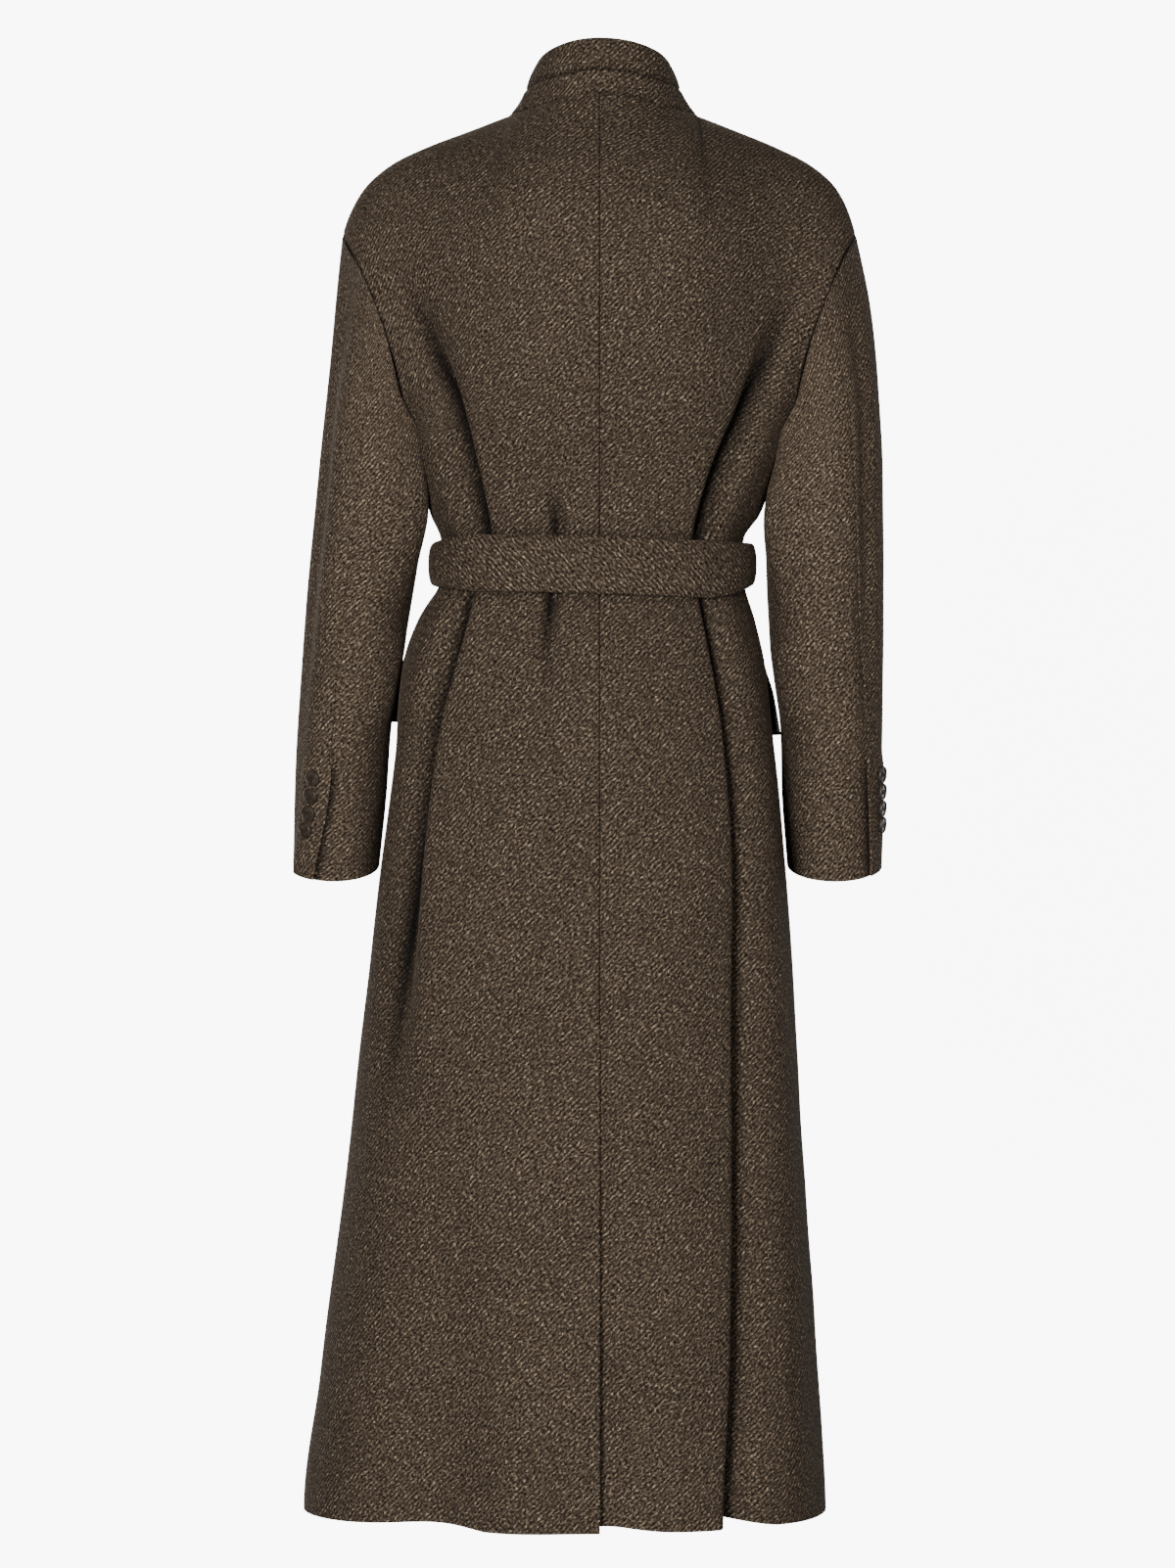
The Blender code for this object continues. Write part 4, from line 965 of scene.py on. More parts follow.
def seam_bow(grid):
    """The back of the armhole bows towards the centre, on the panels and the sleeves alike."""
    x, y, z = np.abs(grid[..., 0]), grid[..., 1], grid[..., 2]
    (low_x, low), (high_x, high) = ARMHOLE_UNDER, SHOULDER_TIP
    line = np.interp(z, [low, high], [low_x, high_x])
    share = np.clip((z - low) / (high - low), 0, 1)
    near = bell(x - line, BOW_WIDTH) * np.sin(math.pi * share) * ease(y, *BOW_AT_BACK)
    bowed = grid.copy()
    bowed[..., 0] -= np.sign(grid[..., 0]) * ARMHOLE_BOW * near
    return bowed


def cloth_piece(node, surface, out, across, up, materials, seams, wall, lift=0.0, inset=(0.004, 0.0008),
                round_by=EDGE_ROUND, turn=1, weave_shift=0.0, waves=1.0, level=False, smooth_form=None,
                creased_form=None, hollow=0.0):
    """A fine cloth shell on a solid's surface, with its waves and its seams."""
    lift = np.broadcast_to(np.asarray(lift, float), across.shape)
    base = surface(across, up)
    sunk, sewn = pressed(base, seams)
    uneven = unevenness(base[..., 0] + WAVE_LEAN * base[..., 1], base[..., 2], weave_shift)
    moved = lift - sunk + waves * WAVE_HEIGHT * uneven
    outer = seam_bow(base + out * moved[..., None])
    inside = surface(drawn_in(across, inset[0], 1), drawn_in(up, inset[1], 0))
    inner = seam_bow(inside + out * (moved - wall)[..., None])
    if smooth_form is None:
        flat, height = base, climbed(base) + (base[:1, :, 2] if level else 0.0)
    else:
        flat, height = creased_form(across, up), climbed_evenly(smooth_form, across, up)
    uv = np.stack([turn * from_centre(flat, across) + weave_shift, height + WEAVE_RISE * weave_shift], -1)
    # Painted shade along the pressed seams
    hollow = hollow + SEAM_SHADE * (sunk / SEAM_DEPTH) ** 3
    return dress(shell(node + "_cloth", outer, inner, out, uv, materials, round_by, sewn, hollow), node)


def body_levels():
    """Running values up a panel, close together at its edges and round the belt."""
    heights = np.concatenate([
        HEM + np.array([0.0, 0.002, 0.004, 0.007]),
        np.linspace(HEM + 0.012, VENT_TOP - VENT_START, 56),
        np.linspace(VENT_TOP - VENT_START, -0.470, 50)[1:],
        np.linspace(-0.470, -0.315, 46)[1:],
    ])
    above = [np.linspace(0.985, 2.0, 42), np.linspace(2.0, 2.94, 34)[1:], [2.96, 2.975, 2.987, 3.0]]
    return np.concatenate([level_at(heights), *above])


def centre_edge(face, side, up):
    """Share across at which a panel starts: its front edge, the edge of the vent's lap or centre back."""
    if face == FRONT:
        width = FRONT_LAP + (FRONT_LAP_AT_NECK - FRONT_LAP) * ease(up, *LAP_NARROWS_UP)
        return -shares_at(FRONT, -side, up, width, np.linspace(0.0, 0.8, 81))
    if side == RIGHT:
        return -VENT_LAP * ease(height_of(up), VENT_TOP - 0.001, VENT_TOP - VENT_START)
    return np.zeros_like(up)


def panel_grid(face, side):
    """Running values of a panel's points: columns meet the neck's corner and gather round the trough."""
    up = body_levels()
    gap = SEWN_GAP / 2 / PANEL_WIDTH
    rows = []
    for first, middle in zip(centre_edge(face, side, up) + gap, trough_share(face, side, up)):
        near, far, last = middle - TROUGH_INNER, middle + TROUGH_OUTER, 1.0 - gap
        marks = [first + EDGE_STEPS[-1], min(NECK_SHARE, 0.8 * near), near, far, last - EDGE_STEPS[-1]]
        runs = [np.linspace(a, b, n + 1)[:-1] for a, b, n in zip(marks, marks[1:], PANEL_COLUMNS[face])]
        rows.append(np.concatenate([first + EDGE_STEPS[:-1], *runs, last - EDGE_STEPS[::-1]]))
    across = np.array(rows)
    return across, np.broadcast_to(up[:, None], across.shape)


def side_seam(up):
    """How strongly the side seam and the armhole draw the cloth in, at each level."""
    return np.maximum(ease(up, 1.0, 0.96), ease(up, 1.35, 1.90))


def body_shade(face, side, across, up):
    """Painted shade of a panel in its folds, a painted shadow beside the belt and painted shade at the armhole, from 0
    to 1.
    """
    creased, pinched, _ = folds_of(face)
    bare = panel(face, side, across, up)
    x, z = bare[..., 0], bare[..., 2]
    dark = fold_shade(creased, x, z, PAINTED_SHADE_IN, PAINTED_SHADE_OUT[face], PAINTED_SHADE_FULL)
    dark = np.maximum(dark, fold_shade(pinched, x, z, PINCH_IN, PINCH_OUT, PINCH_FULL))
    at_back = ease(np.abs(across), *BELT_AT_BACK) if face == BACK else np.zeros_like(x)
    middle = BELT_HEIGHT - (BELT_DIP + BELT_TILT * x) * at_back
    half = (BELT_WIDTH_SIDE + (BELT_WIDTH_BACK - BELT_WIDTH_SIDE) * at_back) / 2
    away = np.maximum(np.abs(z - middle) - half, 0.0)
    dark = np.maximum(dark, BELT_SHADE * bell(away, BELT_SHADE_WIDTH))
    run = along_rows(bare)
    return np.maximum(dark, ARM_SHADE * bell(run[:, -1:] - run, ARM_WIDTH) * ease(up, 1.02, 1.10))


def body(cloth):
    made = {}
    for node, face, side, offset in (
        ("back_left", BACK, LEFT, None),
        ("back_right", BACK, RIGHT, vent_offset),
        ("front_left", FRONT, LEFT, lap_offset),
        ("front_right", FRONT, RIGHT, None),
    ):
        surface, outwards = body_panel(face, side, offset)
        across, up = panel_grid(face, side)
        out = normals(surface, across, up, outwards)
        seams = {"last_column": side_seam(up[:, 0]), "last_row": 1.0}
        if face == BACK:
            closed = ease(height_of(up[:, 0]), VENT_TOP - 0.015, VENT_TOP + 0.010)
            seams["first_column"] = CENTRE_SEAM_SHARE * closed
        made[node] = cloth_piece(
            node, surface, out, across, up, cloth, seams, WALL, turn=outwards,
            weave_shift=side if face == BACK else 3 + side, smooth_form=partial(panel, face, side),
            creased_form=body_panel(face, side, pinch=0.0)[0], hollow=body_shade(face, side, across, up),
        )
    return made


def collar(cloth):
    turns = np.linspace(-1 + COLLAR_OPENING / math.pi, 1 - COLLAR_OPENING / math.pi, 241)
    made = {}
    for node, low, high, bulge in (
        ("collar_stand", NECK_SEAM, COLLAR_SEAM, -COLLAR_BULGE),
        ("collar_leaf", COLLAR_SEAM, COLLAR_TOP, COLLAR_BULGE),
    ):
        climb = np.concatenate([[-0.08, -0.04, 0.0], np.linspace(0.06, 0.92, 24), [0.96, 1.0]])

        def surface(turn, share, low=low, high=high):
            share = share[..., None]
            start, end = collar_ring(low, turn * math.pi), collar_ring(high, turn * math.pi)
            return start * (1 - share) + end * share

        turn, share = np.meshgrid(turns, climb)
        out = normals(surface, turn, np.maximum(share, 0.0), 1)
        lift = bulge * np.sin(math.pi * np.clip(share, 0, 1)) - COLLAR_TUCK * ease(share, 0.10, -0.05)
        seams = {"last_row": 1.0} if node == "collar_stand" else {}
        made[node] = cloth_piece(
            node, surface, out, turn, share, cloth, seams, COLLAR_WALL, lift=lift, inset=(0.010, 0.06),
            round_by=COLLAR_ROUND, weave_shift=6.0 + len(made), waves=0.5,
            # Painted shade along the collar's foot at the neck seam
            hollow=FOOT_SHADE * bell(np.maximum(share, 0), FOOT_WIDTH),
        )
    return made


def off_outer(angle):
    """Degrees round a sleeve from its outer side, either way, from 0 to 180."""
    return np.abs((angle + 180) % 360 - 180)


def sleeve_shade(side, angle, along, from_armhole):
    """Painted shade of a sleeve at the armhole and beside the body. Below 0 it is a painted highlight along its
    crease.
    """
    dark = ARM_SHADE * bell(from_armhole, ARM_WIDTH) * ease(off_outer(angle), 178, 160)
    dark = np.maximum(dark, SLEEVE_SHADE * ease(angle, 100, 155) * ease(along, 0.25, 0.60))
    raised = np.clip(read(SLEEVE_FOLD, "along", "depth", along) / CREST_FULL, 0, 1)
    return dark - CREST_PAINTED_HIGHLIGHT * raised * bell(from_crease(side, angle, along) - CREST_AT, CREST_WIDTH)


def sleeves(cloth):
    along = np.concatenate([
        [SLEEVE_JOIN, 0.002, 0.005, 0.010, 0.018],
        np.linspace(0.03, CUFF_VENT_START, 100),
        np.linspace(CUFF_VENT_START, 0.985, 46)[1:],
        [0.990, 0.994, 0.997, 1.0],
    ])
    open_vent = ease(along, CUFF_VENT_START, CUFF_VENT_START + CUFF_VENT_EASE)
    fore_seam, hind_seam = SLEEVE_SEAM_SHARE, SLEEVE_SEAM_SHARE * (1 - open_vent)
    steps = SLEEVE_EDGE * EDGE_STEPS
    made = {}
    for (word, side), (piece, count) in product(SIDES, (("top", 64), ("under", 44))):
        surface, at = sleeve_surface(side, lap=piece == "top")
        hind = at("hind_seam", along)
        if piece == "top":
            first = np.full_like(along, FORE_SEAM - 360 + SLEEVE_SEWN_ANGLE)
            last = hind - SLEEVE_SEWN_ANGLE + CUFF_LAP_ANGLE * open_vent
            seams = {"first_column": fore_seam, "last_column": hind_seam}
        else:
            first = hind + SLEEVE_SEWN_ANGLE
            last = np.full_like(along, FORE_SEAM - SLEEVE_SEWN_ANGLE)
            seams = {"first_column": hind_seam, "last_column": fore_seam}
        middle = np.linspace(steps[-1], 1 - steps[-1], count)
        share = np.concatenate([steps[:-1], middle, 1 - steps[-2::-1]])
        angle = first[:, None] + (last - first)[:, None] * share
        run = np.broadcast_to(along[:, None], angle.shape)
        seams["first_row"] = ease(off_outer(angle[0]), 140, 90)
        out = sleeve_normals(surface, angle, np.maximum(run, 0.0), side)

        def started(a, b, surface=surface):
            return surface(a, np.maximum(b, SLEEVE_JOIN))

        hollow = sleeve_shade(side, angle, run, along_columns(started(angle, run)))
        if piece == "under":
            # Painted shadow of the top sleeve's lap on the under sleeve at the cuff vent
            from_lap = angle - hind[:, None] - CUFF_LAP_ANGLE
            hollow = np.maximum(hollow, VENT_SHADE * bell(from_lap, VENT_WIDTH) * open_vent[:, None])
        node = f"sleeve_{word}_{piece}"
        made[node] = cloth_piece(
            node, started, out, angle, run, cloth, seams, WALL, inset=(0.004, 0.0),
            turn=-side, weave_shift=9.0 + len(made), level=True, hollow=hollow,
        )
    return made


def belt(cloth):
    turns = np.linspace(-2, 2, 321)
    line, out = belt_line(turns)
    at_back, at_front = ease(np.abs(turns), *BELT_AT_BACK), ease(np.abs(turns), *BELT_AT_FRONT)
    width = BELT_WIDTH_SIDE + (BELT_WIDTH_BACK - BELT_WIDTH_SIDE) * at_back
    width = width + (BELT_WIDTH_FRONT - BELT_WIDTH_SIDE) * at_front
    line[:, 2] -= (BELT_DIP + BELT_TILT * line[:, 0]) * at_back
    round_turn = np.linspace(0, 2 * math.pi, 41)
    c, s = np.cos(round_turn), np.sin(round_turn)
    height = np.sign(s) * np.abs(s) ** BELT_TALL_SHAPE
    share = 0.5 - 0.5 * np.sign(c) * np.abs(c) ** BELT_DEEP_SHAPE
    crown = BELT_CROWN * (1 - height**2) * share
    far = BELT_CLEARANCE + BELT_THICK * share + crown
    grid = line[:, None] + out[:, None] * far[None, :, None]
    grid[..., 2] += height[None] * width[:, None] / 2
    run = np.concatenate([[0], np.cumsum(np.linalg.norm(np.diff(line, axis=0), axis=1))])
    girth = along_rows(grid)[0]
    rows, columns = len(turns) - 1, len(round_turn) - 1
    index = np.arange(rows * columns).reshape(rows, columns)
    ahead, beside = np.roll(index, -1, 0), np.roll(index, -1, 1)
    faces = np.stack([index, beside, np.roll(ahead, -1, 1), ahead], -1).reshape(-1, 4)
    i, j = np.meshgrid(np.arange(rows), np.arange(columns), indexing="ij")
    corners = [(i, j), (i, j + 1), (i + 1, j + 1), (i + 1, j)]
    uv = np.stack([np.stack([run[a], girth[b]], -1) for a, b in corners], 2).reshape(-1, 4, 2)
    made = mesh_object("belt_cloth", grid[:-1, :-1].reshape(-1, 3), faces, uv, cloth)
    return {"belt": dress(made, "belt")}


def belt_tie(cloth):
    """A plain knot over the front of the belt and the two ends that hang from it."""
    line, out = belt_line([1.999])
    front = BELT_CLEARANCE + BELT_THICK + BELT_CROWN + SEAM
    wide, deep, tall = KNOT_SIZE
    side, turn = np.meshgrid(np.linspace(-1, 1, 31), np.linspace(-1, 1, 61))
    c, s = np.cos(turn * math.pi / 2), np.sin(turn * math.pi / 2)
    waist = 1 - KNOT_WAIST * c**2
    crease = KNOT_CREASE * c * sum(size * np.cos(side * wave + shift) for size, wave, shift in KNOT_CREASES)

    def knot(thin):
        reach = np.abs(c) ** KNOT_DEEP_SHAPE * (deep - thin) * (1 - KNOT_FALL * side**4)
        x = line[0, 0] + side * waist * (wide / 2 - thin * KNOT_THIN)
        y = line[0, 1] + out[0, 1] * (front + (reach + crease * (thin == 0)))
        z = line[0, 2] + np.sign(s) * np.abs(s) ** KNOT_TALL_SHAPE * (tall / 2 - thin)
        return points(x, y, z)

    uv = np.stack([side * wide / 2, turn * tall], -1)
    outer, inner = knot(0), knot(KNOT_WALL)
    tied = shell("belt_knot_cloth", outer, inner, unit(outer - inner), uv, cloth, EDGE_ROUND)
    made = {"belt_knot": dress(tied, "belt_knot")}
    surface, outwards = body_panel(FRONT, RIGHT)
    for node, first, last, low in BELT_ENDS:
        up = level_at(np.linspace(low, BELT_HEIGHT - BELT_WIDTH_FRONT / 2 - TAIL_BELOW_BELT, 120))
        spread = TAIL_GATHER + (1 - TAIL_GATHER) * np.linspace(1, 0, len(up))
        x = np.linspace(first, last, 17) * spread[:, None]
        across = shares_at(FRONT, RIGHT, up, x, np.linspace(-0.6, 0.6, 121))
        run = np.broadcast_to(up[:, None], across.shape)
        bend = normals(surface, across, run, outwards)
        made[node] = cloth_piece(
            node, surface, bend, across, run, cloth, {}, BELT_THICK, lift=TAIL_CLEARANCE + BELT_THICK,
            round_by=BELT_ROUND, turn=-1, weave_shift=20.0 + len(made), waves=0.4,
        )
    return made


def pocket_flaps(cloth):
    made = {}
    for word, side in SIDES:
        surface, outwards = body_panel(FRONT, side, lap_offset if side == LEFT else None)
        across, climb = np.meshgrid(np.linspace(*FLAP_ACROSS, 61), np.linspace(0, 1, 31))
        up = level_at(FLAP_TOP[side] - FLAP_HEIGHT * (1 - climb))
        lift = FLAP_LIFT_BOTTOM[side] + (FLAP_LIFT_TOP - FLAP_LIFT_BOTTOM[side]) * climb + FLAP_WALL
        lift = lift - FLAP_TUCK * ease(climb, *FLAP_TUCK_RANGE)
        out = normals(surface, across, up, outwards)
        node = f"pocket_flap_{word}"
        made[node] = cloth_piece(
            node, surface, out, across, up, cloth, {}, FLAP_WALL, lift=lift,
            turn=-side, weave_shift=30.0 + side, waves=0.3,
        )
    return made


def strips(rings, sides, start=0):
    """Faces between rings of points that follow one another."""
    faces = []
    for ring, k in product(range(rings - 1), range(sides)):
        a, b = start + ring * sides + k, start + ring * sides + (k + 1) % sides
        faces.append((a, b, b + sides, a + sides))
    return faces


def turned(profile, sides):
    """Points and faces of a round solid from a profile of (radius, height)."""
    angles = np.linspace(0, 2 * math.pi, sides, endpoint=False)
    vertices = [(r * math.cos(a), r * math.sin(a), height) for r, height in profile for a in angles]
    return vertices, strips(len(profile), sides)


def button_mesh(name, horn, thread):
    """A four-hole button with a raised rim, sewn on with two crossing threads."""
    r, t = BUTTON_RADIUS, BUTTON_THICK
    dish, floor = r - BUTTON_RIM, t - BUTTON_DISH
    below = np.linspace(0, math.pi / 2, 6)
    over = np.linspace(0.15, math.pi - 0.1, 12)
    profile = [(POLE, 0.0)]
    profile += [(r * (0.80 + 0.20 * math.sin(a)), t * 0.5 * (1 - math.cos(a))) for a in below]
    profile += [
        (dish + BUTTON_RIM * (0.5 + 0.5 * math.cos(a)), t * (0.5 + 0.5 * math.sin(a) ** 0.6)) for a in over
    ]
    profile += [(dish - 0.0006, floor), (POLE, floor - 0.0001)]
    vertices, faces = turned(profile, BUTTON_SIDES)
    of_horn = len(faces)
    for quarter in range(4):
        angle = math.pi / 4 + quarter * math.pi / 2
        centre = np.array([math.cos(angle), math.sin(angle), 0]) * BUTTON_HOLE_OUT
        faces.append(tuple(range(len(vertices), len(vertices) + HOLE_SIDES)))
        ring, _ = turned([(BUTTON_HOLE, floor + 0.00005)], HOLE_SIDES)
        vertices += [tuple(centre + np.array(p)) for p in ring]
    for angle in (math.pi / 4, 3 * math.pi / 4):
        along = np.array([math.cos(angle), math.sin(angle), 0])
        beside = np.array([-along[1], along[0], 0])
        rings = np.linspace(-1, 1, 7)
        faces += strips(len(rings), THREAD_SIDES, len(vertices))
        for step in rings:
            rise = floor + THREAD * (1.6 - 1.4 * step * step)
            for a in np.linspace(0, 2 * math.pi, THREAD_SIDES, endpoint=False):
                ring = beside * math.cos(a) * THREAD + np.array([0, 0, math.sin(a) * THREAD])
                vertices.append(tuple(along * step * BUTTON_HOLE_OUT + ring + np.array([0, 0, rise])))
    data = bpy.data.meshes.new(name)
    data.from_pydata(vertices, [], faces)
    data.materials.append(horn)
    data.materials.append(thread)
    slots = [int(k >= of_horn) for k in range(len(faces))]
    data.polygons.foreach_set("material_index", slots)
    data.shade_smooth()
    data.set_sharp_from_angle(angle=math.radians(45))
    return data


def cuff_buttons(horn, thread):
    for word, side in SIDES:
        surface, at = sleeve_surface(side, lap=True)
        for k in range(BUTTON_COUNT):
            along = np.array([BUTTON_FIRST + k * BUTTON_PITCH])
            angle = at("hind_seam", along) + CUFF_LAP_ANGLE - BUTTON_FROM_EDGE
            seat = surface(angle, along)[0]
            out = sleeve_normals(surface, angle, along, side)[0]
            node = f"cuff_button_{word}_{k + 1}"
            data = button_mesh(node + "_horn", horn, thread)
            stand = Vector(out).to_track_quat("Z", "Y").to_matrix().to_4x4()
            spin = Matrix.Rotation(BUTTON_SPIN * k + side, 4, "Z")
            data.transform(Matrix.Translation(Vector(seat + out * BUTTON_CLEARANCE)) @ stand @ spin)
            made = bpy.data.objects.new(node + "_horn", data)
            bpy.context.scene.collection.objects.link(made)
            dress(made, node, "horn")


def node(tree, kind, inputs=None, **settings):
    made = tree.nodes.new("ShaderNode" + kind)
    for key, value in settings.items():
        setattr(made, key, value)
    for socket, value in (inputs or {}).items():
        if isinstance(value, bpy.types.NodeSocket):
            tree.links.new(value, made.inputs[socket])
        else:
            made.inputs[socket].default_value = value
    return made


def maths(tree, operation, a, b=0.0, clamp=False):
    return node(tree, "Math", {0: a, 1: b}, operation=operation, use_clamp=clamp).outputs[0]


def vector(tree, operation, a, b=None, scale=None):
    inputs = {0: a}
    if b is not None:
        inputs[1] = b
    if scale is not None:
        inputs["Scale"] = scale
    return node(tree, "VectorMath", inputs, operation=operation).outputs[0]


def ramp(tree, factor, stops):
    made = node(tree, "ValToRGB", {"Fac": factor})
    elements = made.color_ramp.elements
    while len(elements) < len(stops):
        elements.new(0.5)
    for element, (position, colour) in zip(elements, stops):
        element.position = position
        element.color = (*colour, 1.0)
    return made.outputs["Color"]


def mix(tree, factor, a, b, blend="MIX"):
    made = node(tree, "Mix", {0: factor, 6: a, 7: b}, data_type="RGBA", blend_type=blend)
    return made.outputs[2]


def noise(tree, place, scale, detail=2.0):
    return node(tree, "TexNoise", {"Vector": place, "Scale": scale, "Detail": detail})


def spread(tree, value, limits, **settings):
    return node(tree, "MapRange", {"Value": value, **limits}, **settings).outputs["Result"]


def material(name, values):
    """A new material, its nodes and its shader, with some of the shader's values set."""
    made = bpy.data.materials.new(name)
    made.use_nodes = True
    shader = made.node_tree.nodes["Principled BSDF"]
    for socket, value in values.items():
        shader.inputs[socket].default_value = value
    return made, made.node_tree, shader


def tweed(name, painted_light_scale):
    """Heavy twill of mottled yarns: soft slanting wales of uneven grains, with pale flecks. Its tone takes painted
    shade and highlights from a mesh value and is scaled by a painted light factor.
    """
    made, tree, shader = material(name, {
        "Roughness": CLOTH_ROUGHNESS, "Specular IOR Level": CLOTH_SPECULAR, "Sheen Weight": SHEEN_WEIGHT,
        "Sheen Roughness": SHEEN_ROUGHNESS, "Sheen Tint": (*SHEEN_TINT, 1.0),
    })
    flat = node(tree, "UVMap", uv_map="cloth").outputs["UV"]
    place = flat
    for scale, size in ((CLOTH_DRIFT_SCALE, CLOTH_DRIFT), (YARN_DRIFT_SCALE, YARN_DRIFT)):
        drift = vector(tree, "SUBTRACT", noise(tree, flat, scale).outputs["Color"], (0.5, 0.5, 0.5))
        place = vector(tree, "ADD", place, vector(tree, "SCALE", drift, scale=size))
    split = node(tree, "SeparateXYZ", {0: place})
    rising = maths(tree, "SUBTRACT", split.outputs["Y"], split.outputs["X"])
    running = maths(tree, "ADD", split.outputs["Y"], split.outputs["X"])
    wale = maths(tree, "SINE", maths(tree, "MULTIPLY", rising, 2 * math.pi / TWILL_PERIOD))
    wale = spread(tree, wale, {"From Min": -1.0})
    grain_place = node(tree, "CombineXYZ", {
        0: maths(tree, "MULTIPLY", running, math.sqrt(0.5) / GRAIN_LENGTH),
        1: maths(tree, "MULTIPLY", rising, math.sqrt(0.5) / GRAIN_WIDTH),
    }).outputs[0]
    grain = noise(tree, grain_place, 1.0, 1.0).outputs["Fac"]
    other_place = vector(tree, "ADD", grain_place, FLECK_SHIFT)
    fleck = noise(tree, other_place, FLECK_SCALE, 1.0).outputs["Fac"]
    fleck = spread(tree, fleck, {"From Min": FLECK_FROM, "From Max": FLECK_TO})
    height = maths(tree, "MULTIPLY", wale, WALE_HEIGHT)
    height = maths(tree, "ADD", height, maths(tree, "MULTIPLY", grain, GRAIN_HEIGHT))
    tone = mix(tree, fleck, ramp(tree, grain, GRAIN_TONES), (*FLECK_TONE, 1.0))
    fuzz = noise(tree, flat, FUZZ_SCALE, 2.0).outputs["Fac"]
    # Painted shade and highlight: the mesh value darkens the cloth in folds, seams and contact lines and lightens the
    # sleeves' crests
    hollow = node(tree, "Attribute", attribute_name="hollow").outputs["Fac"]
    for factor, low, high in (
        (noise(tree, flat, PATCH_SCALE).outputs["Fac"], *PATCH_TONES),
        (noise(tree, flat, STREAK_SCALE).outputs["Fac"], *STREAK_TONES),
        (fuzz, *FUZZ_TONES),
        (maths(tree, "MINIMUM", hollow, 1.0), 1.0, PAINTED_SHADE_TONE),
        # The painted light scale brightens or darkens the whole cloth here
        (wale, painted_light_scale * WALE_TONES[0], painted_light_scale * WALE_TONES[1]),
    ):
        factor = spread(tree, factor, {"To Min": low, "To Max": high}, clamp=False)
        tone = mix(tree, 1.0, tone, factor, "MULTIPLY")
    tree.links.new(tone, shader.inputs["Base Color"])
    relief = maths(tree, "ADD", height, maths(tree, "MULTIPLY", fuzz, FUZZ_HEIGHT))
    bump = node(tree, "Bump", {"Strength": BUMP_STRENGTH, "Distance": BUMP_DISTANCE, "Height": relief})
    tree.links.new(bump.outputs["Normal"], shader.inputs["Normal"])
    return made


def horn():
    """Dark polished horn with a cloudy grain."""
    made, tree, shader = material("horn_polished", {})
    place = node(tree, "TexCoord").outputs["Object"]
    cloud = noise(tree, place, HORN_SCALE, HORN_DETAIL).outputs["Fac"]
    tree.links.new(ramp(tree, cloud, HORN_TONES), shader.inputs["Base Color"])
    gloss = spread(tree, cloud, {"To Min": HORN_GLOSS[0], "To Max": HORN_GLOSS[1]})
    tree.links.new(gloss, shader.inputs["Roughness"])
    bump = node(tree, "Bump", {"Strength": HORN_BUMP, "Distance": HORN_BUMP_DISTANCE, "Height": cloud})
    tree.links.new(bump.outputs["Normal"], shader.inputs["Normal"])
    return made


def sewing_thread():
    made, tree, shader = material("sewing_thread", {"Roughness": THREAD_ROUGHNESS})
    twist = noise(tree, node(tree, "TexCoord").outputs["Object"], THREAD_SCALE).outputs["Fac"]
    tree.links.new(ramp(tree, twist, THREAD_TONES), shader.inputs["Base Color"])
    return made


def plain(name, colour, glow):
    return material(name, {
        "Base Color": (*colour, 1.0), "Roughness": FLOOR_ROUGHNESS,
        "Emission Color": (*colour, 1.0), "Emission Strength": glow,
    })[0]


def soft_light(name, place, aim, size, power):
    data = bpy.data.lights.new(name, "AREA")
    data.shape = "RECTANGLE"
    data.size, data.size_y = size
    data.energy = power
    made = bpy.data.objects.new(name, data)
    made.location = place
    made.rotation_euler = (Vector(aim) - Vector(place)).to_track_quat("-Z", "Y").to_euler()
    bpy.context.scene.collection.objects.link(made)


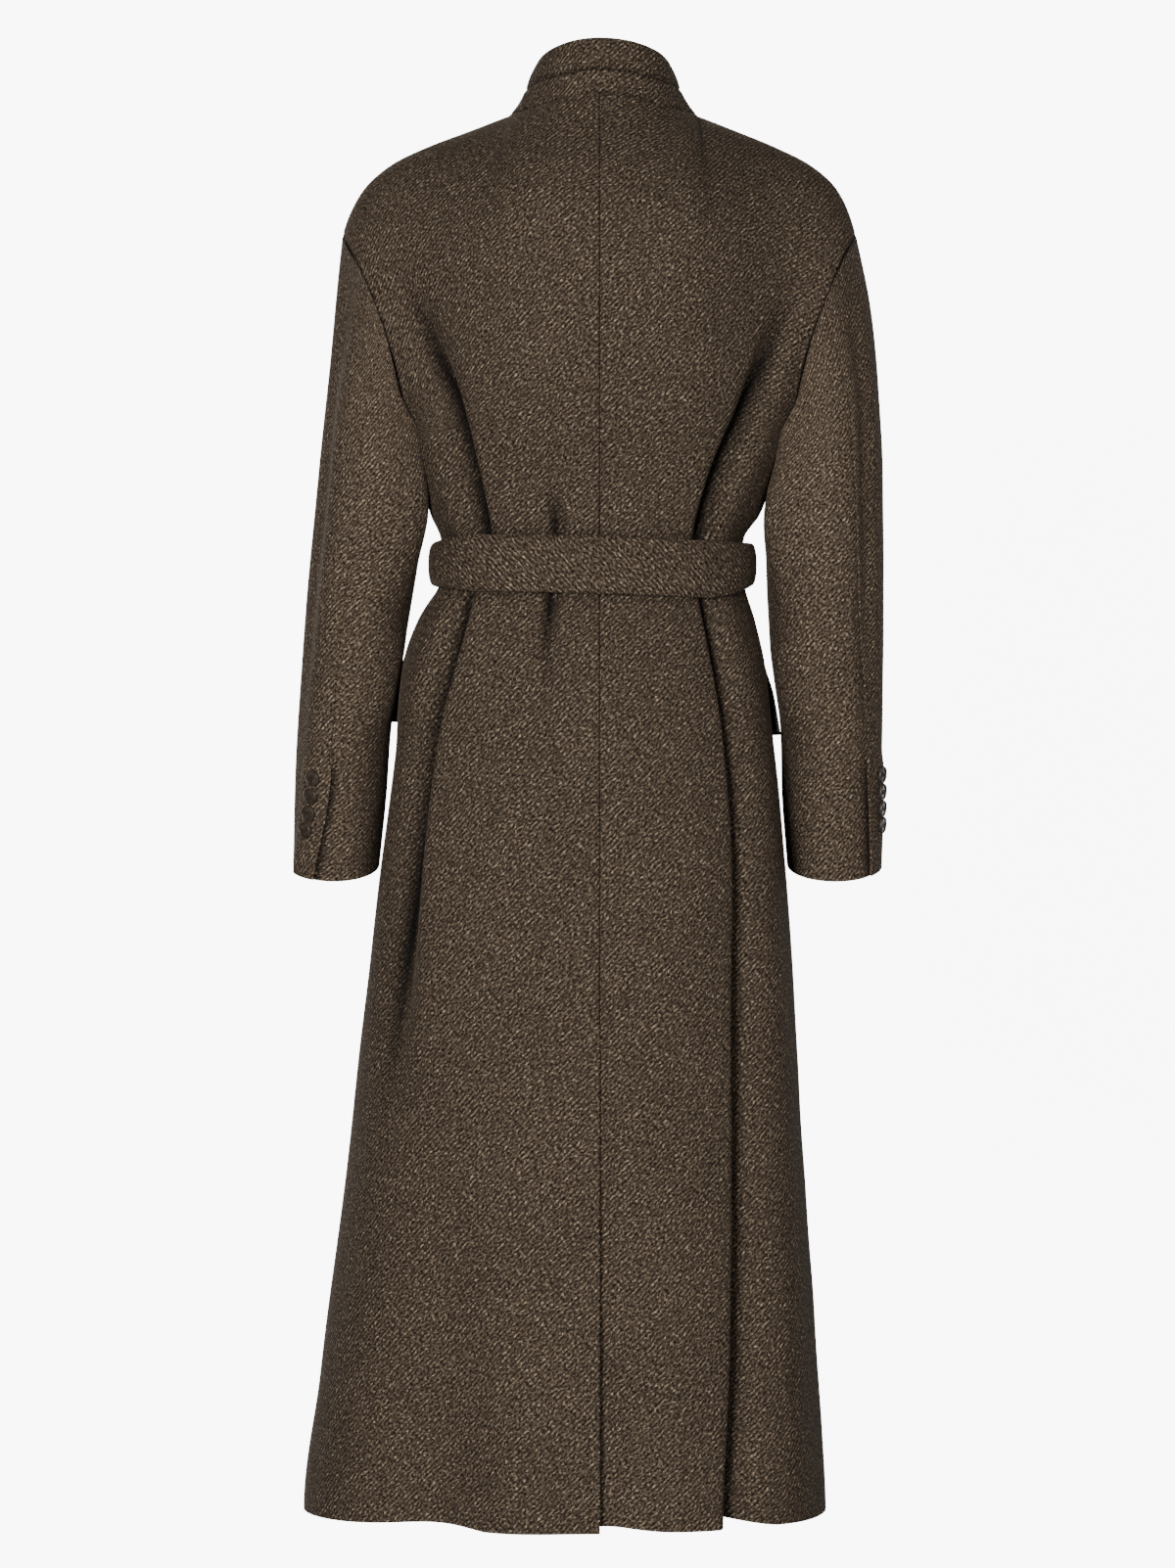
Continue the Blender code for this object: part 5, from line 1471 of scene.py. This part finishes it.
def studio():
    """A pale floor that sweeps up into the backdrop, soft lights and the camera."""
    sweep = [(y, FLOOR) for y in np.linspace(FLOOR_START, COVE_START, 6)]
    turn = np.linspace(0, math.pi / 2, 13)[1:]
    wall = COVE_START + COVE_ROUND
    sweep += [(COVE_START + COVE_ROUND * math.sin(a), FLOOR + COVE_ROUND * (1 - math.cos(a))) for a in turn]
    sweep += [(wall, z) for z in np.linspace(FLOOR + COVE_ROUND, BACKDROP_TOP, 5)[1:]]
    grid = np.array([[(x, y, z) for x in (-COVE_HALF_WIDTH, COVE_HALF_WIDTH)] for y, z in sweep])
    index = np.arange(2 * len(sweep)).reshape(-1, 2)
    faces = np.stack([index[:-1, 0], index[:-1, 1], index[1:, 1], index[1:, 0]], -1)
    cove = mesh_object(
        "floor", grid.reshape(-1, 3), faces, np.zeros((len(faces), 4, 2)),
        [plain("pale_floor", FLOOR_COLOUR, FLOOR_GLOW)],
    )
    cove.visible_diffuse = False
    cove.visible_glossy = False
    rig.stage(cove)
    for light in LIGHTS:
        soft_light(*light)
    world = bpy.data.worlds.new("studio")
    world.use_nodes = True
    background = world.node_tree.nodes["Background"]
    background.inputs["Color"].default_value = (1.0, 1.0, 1.0, 1.0)
    background.inputs["Strength"].default_value = WORLD_LIGHT
    bpy.context.scene.world = world
    data = bpy.data.cameras.new("camera")
    data.sensor_width = SENSOR
    data.lens = SENSOR * CAMERA_DISTANCE / VIEW_HEIGHT
    camera = bpy.data.objects.new("camera", data)
    camera.location = (CAMERA_X, -CAMERA_DISTANCE, CAMERA_Z)
    camera.rotation_euler = (math.pi / 2, 0, 0)
    bpy.context.scene.collection.objects.link(camera)
    bpy.context.scene.camera = camera


def main():
    # The seam cloth is a darker copy of the tweed as painted shade in seam grooves; the sleeve cloth is a brighter
    # copy as painted light
    seam = tweed("tweed_seam", SEAM_PAINTED_SHADE)
    cloth, painted_lit_cloth = (tweed("tweed_cloth", 1.0), seam), (tweed("tweed_sleeve", SLEEVE_PAINTED_LIGHT), seam)
    made = {}
    for build in (body, collar, belt, belt_tie, pocket_flaps):
        made.update(build(cloth))
    made.update(sleeves(painted_lit_cloth))
    cuff_buttons(horn(), sewing_thread())
    studio()
    for cut in SHEETS:
        held_by = [made[name] for name in cut.rests_on]
        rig.sheet(made[cut.node], (cut.width, cut.length), cut.held, held_by, area=cut.area)
    visual = [list(corner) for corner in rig.bounds()]
    with open("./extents.json", "w") as file:
        json.dump({"cad": CAD_BOX, "visual": visual}, file)


main()
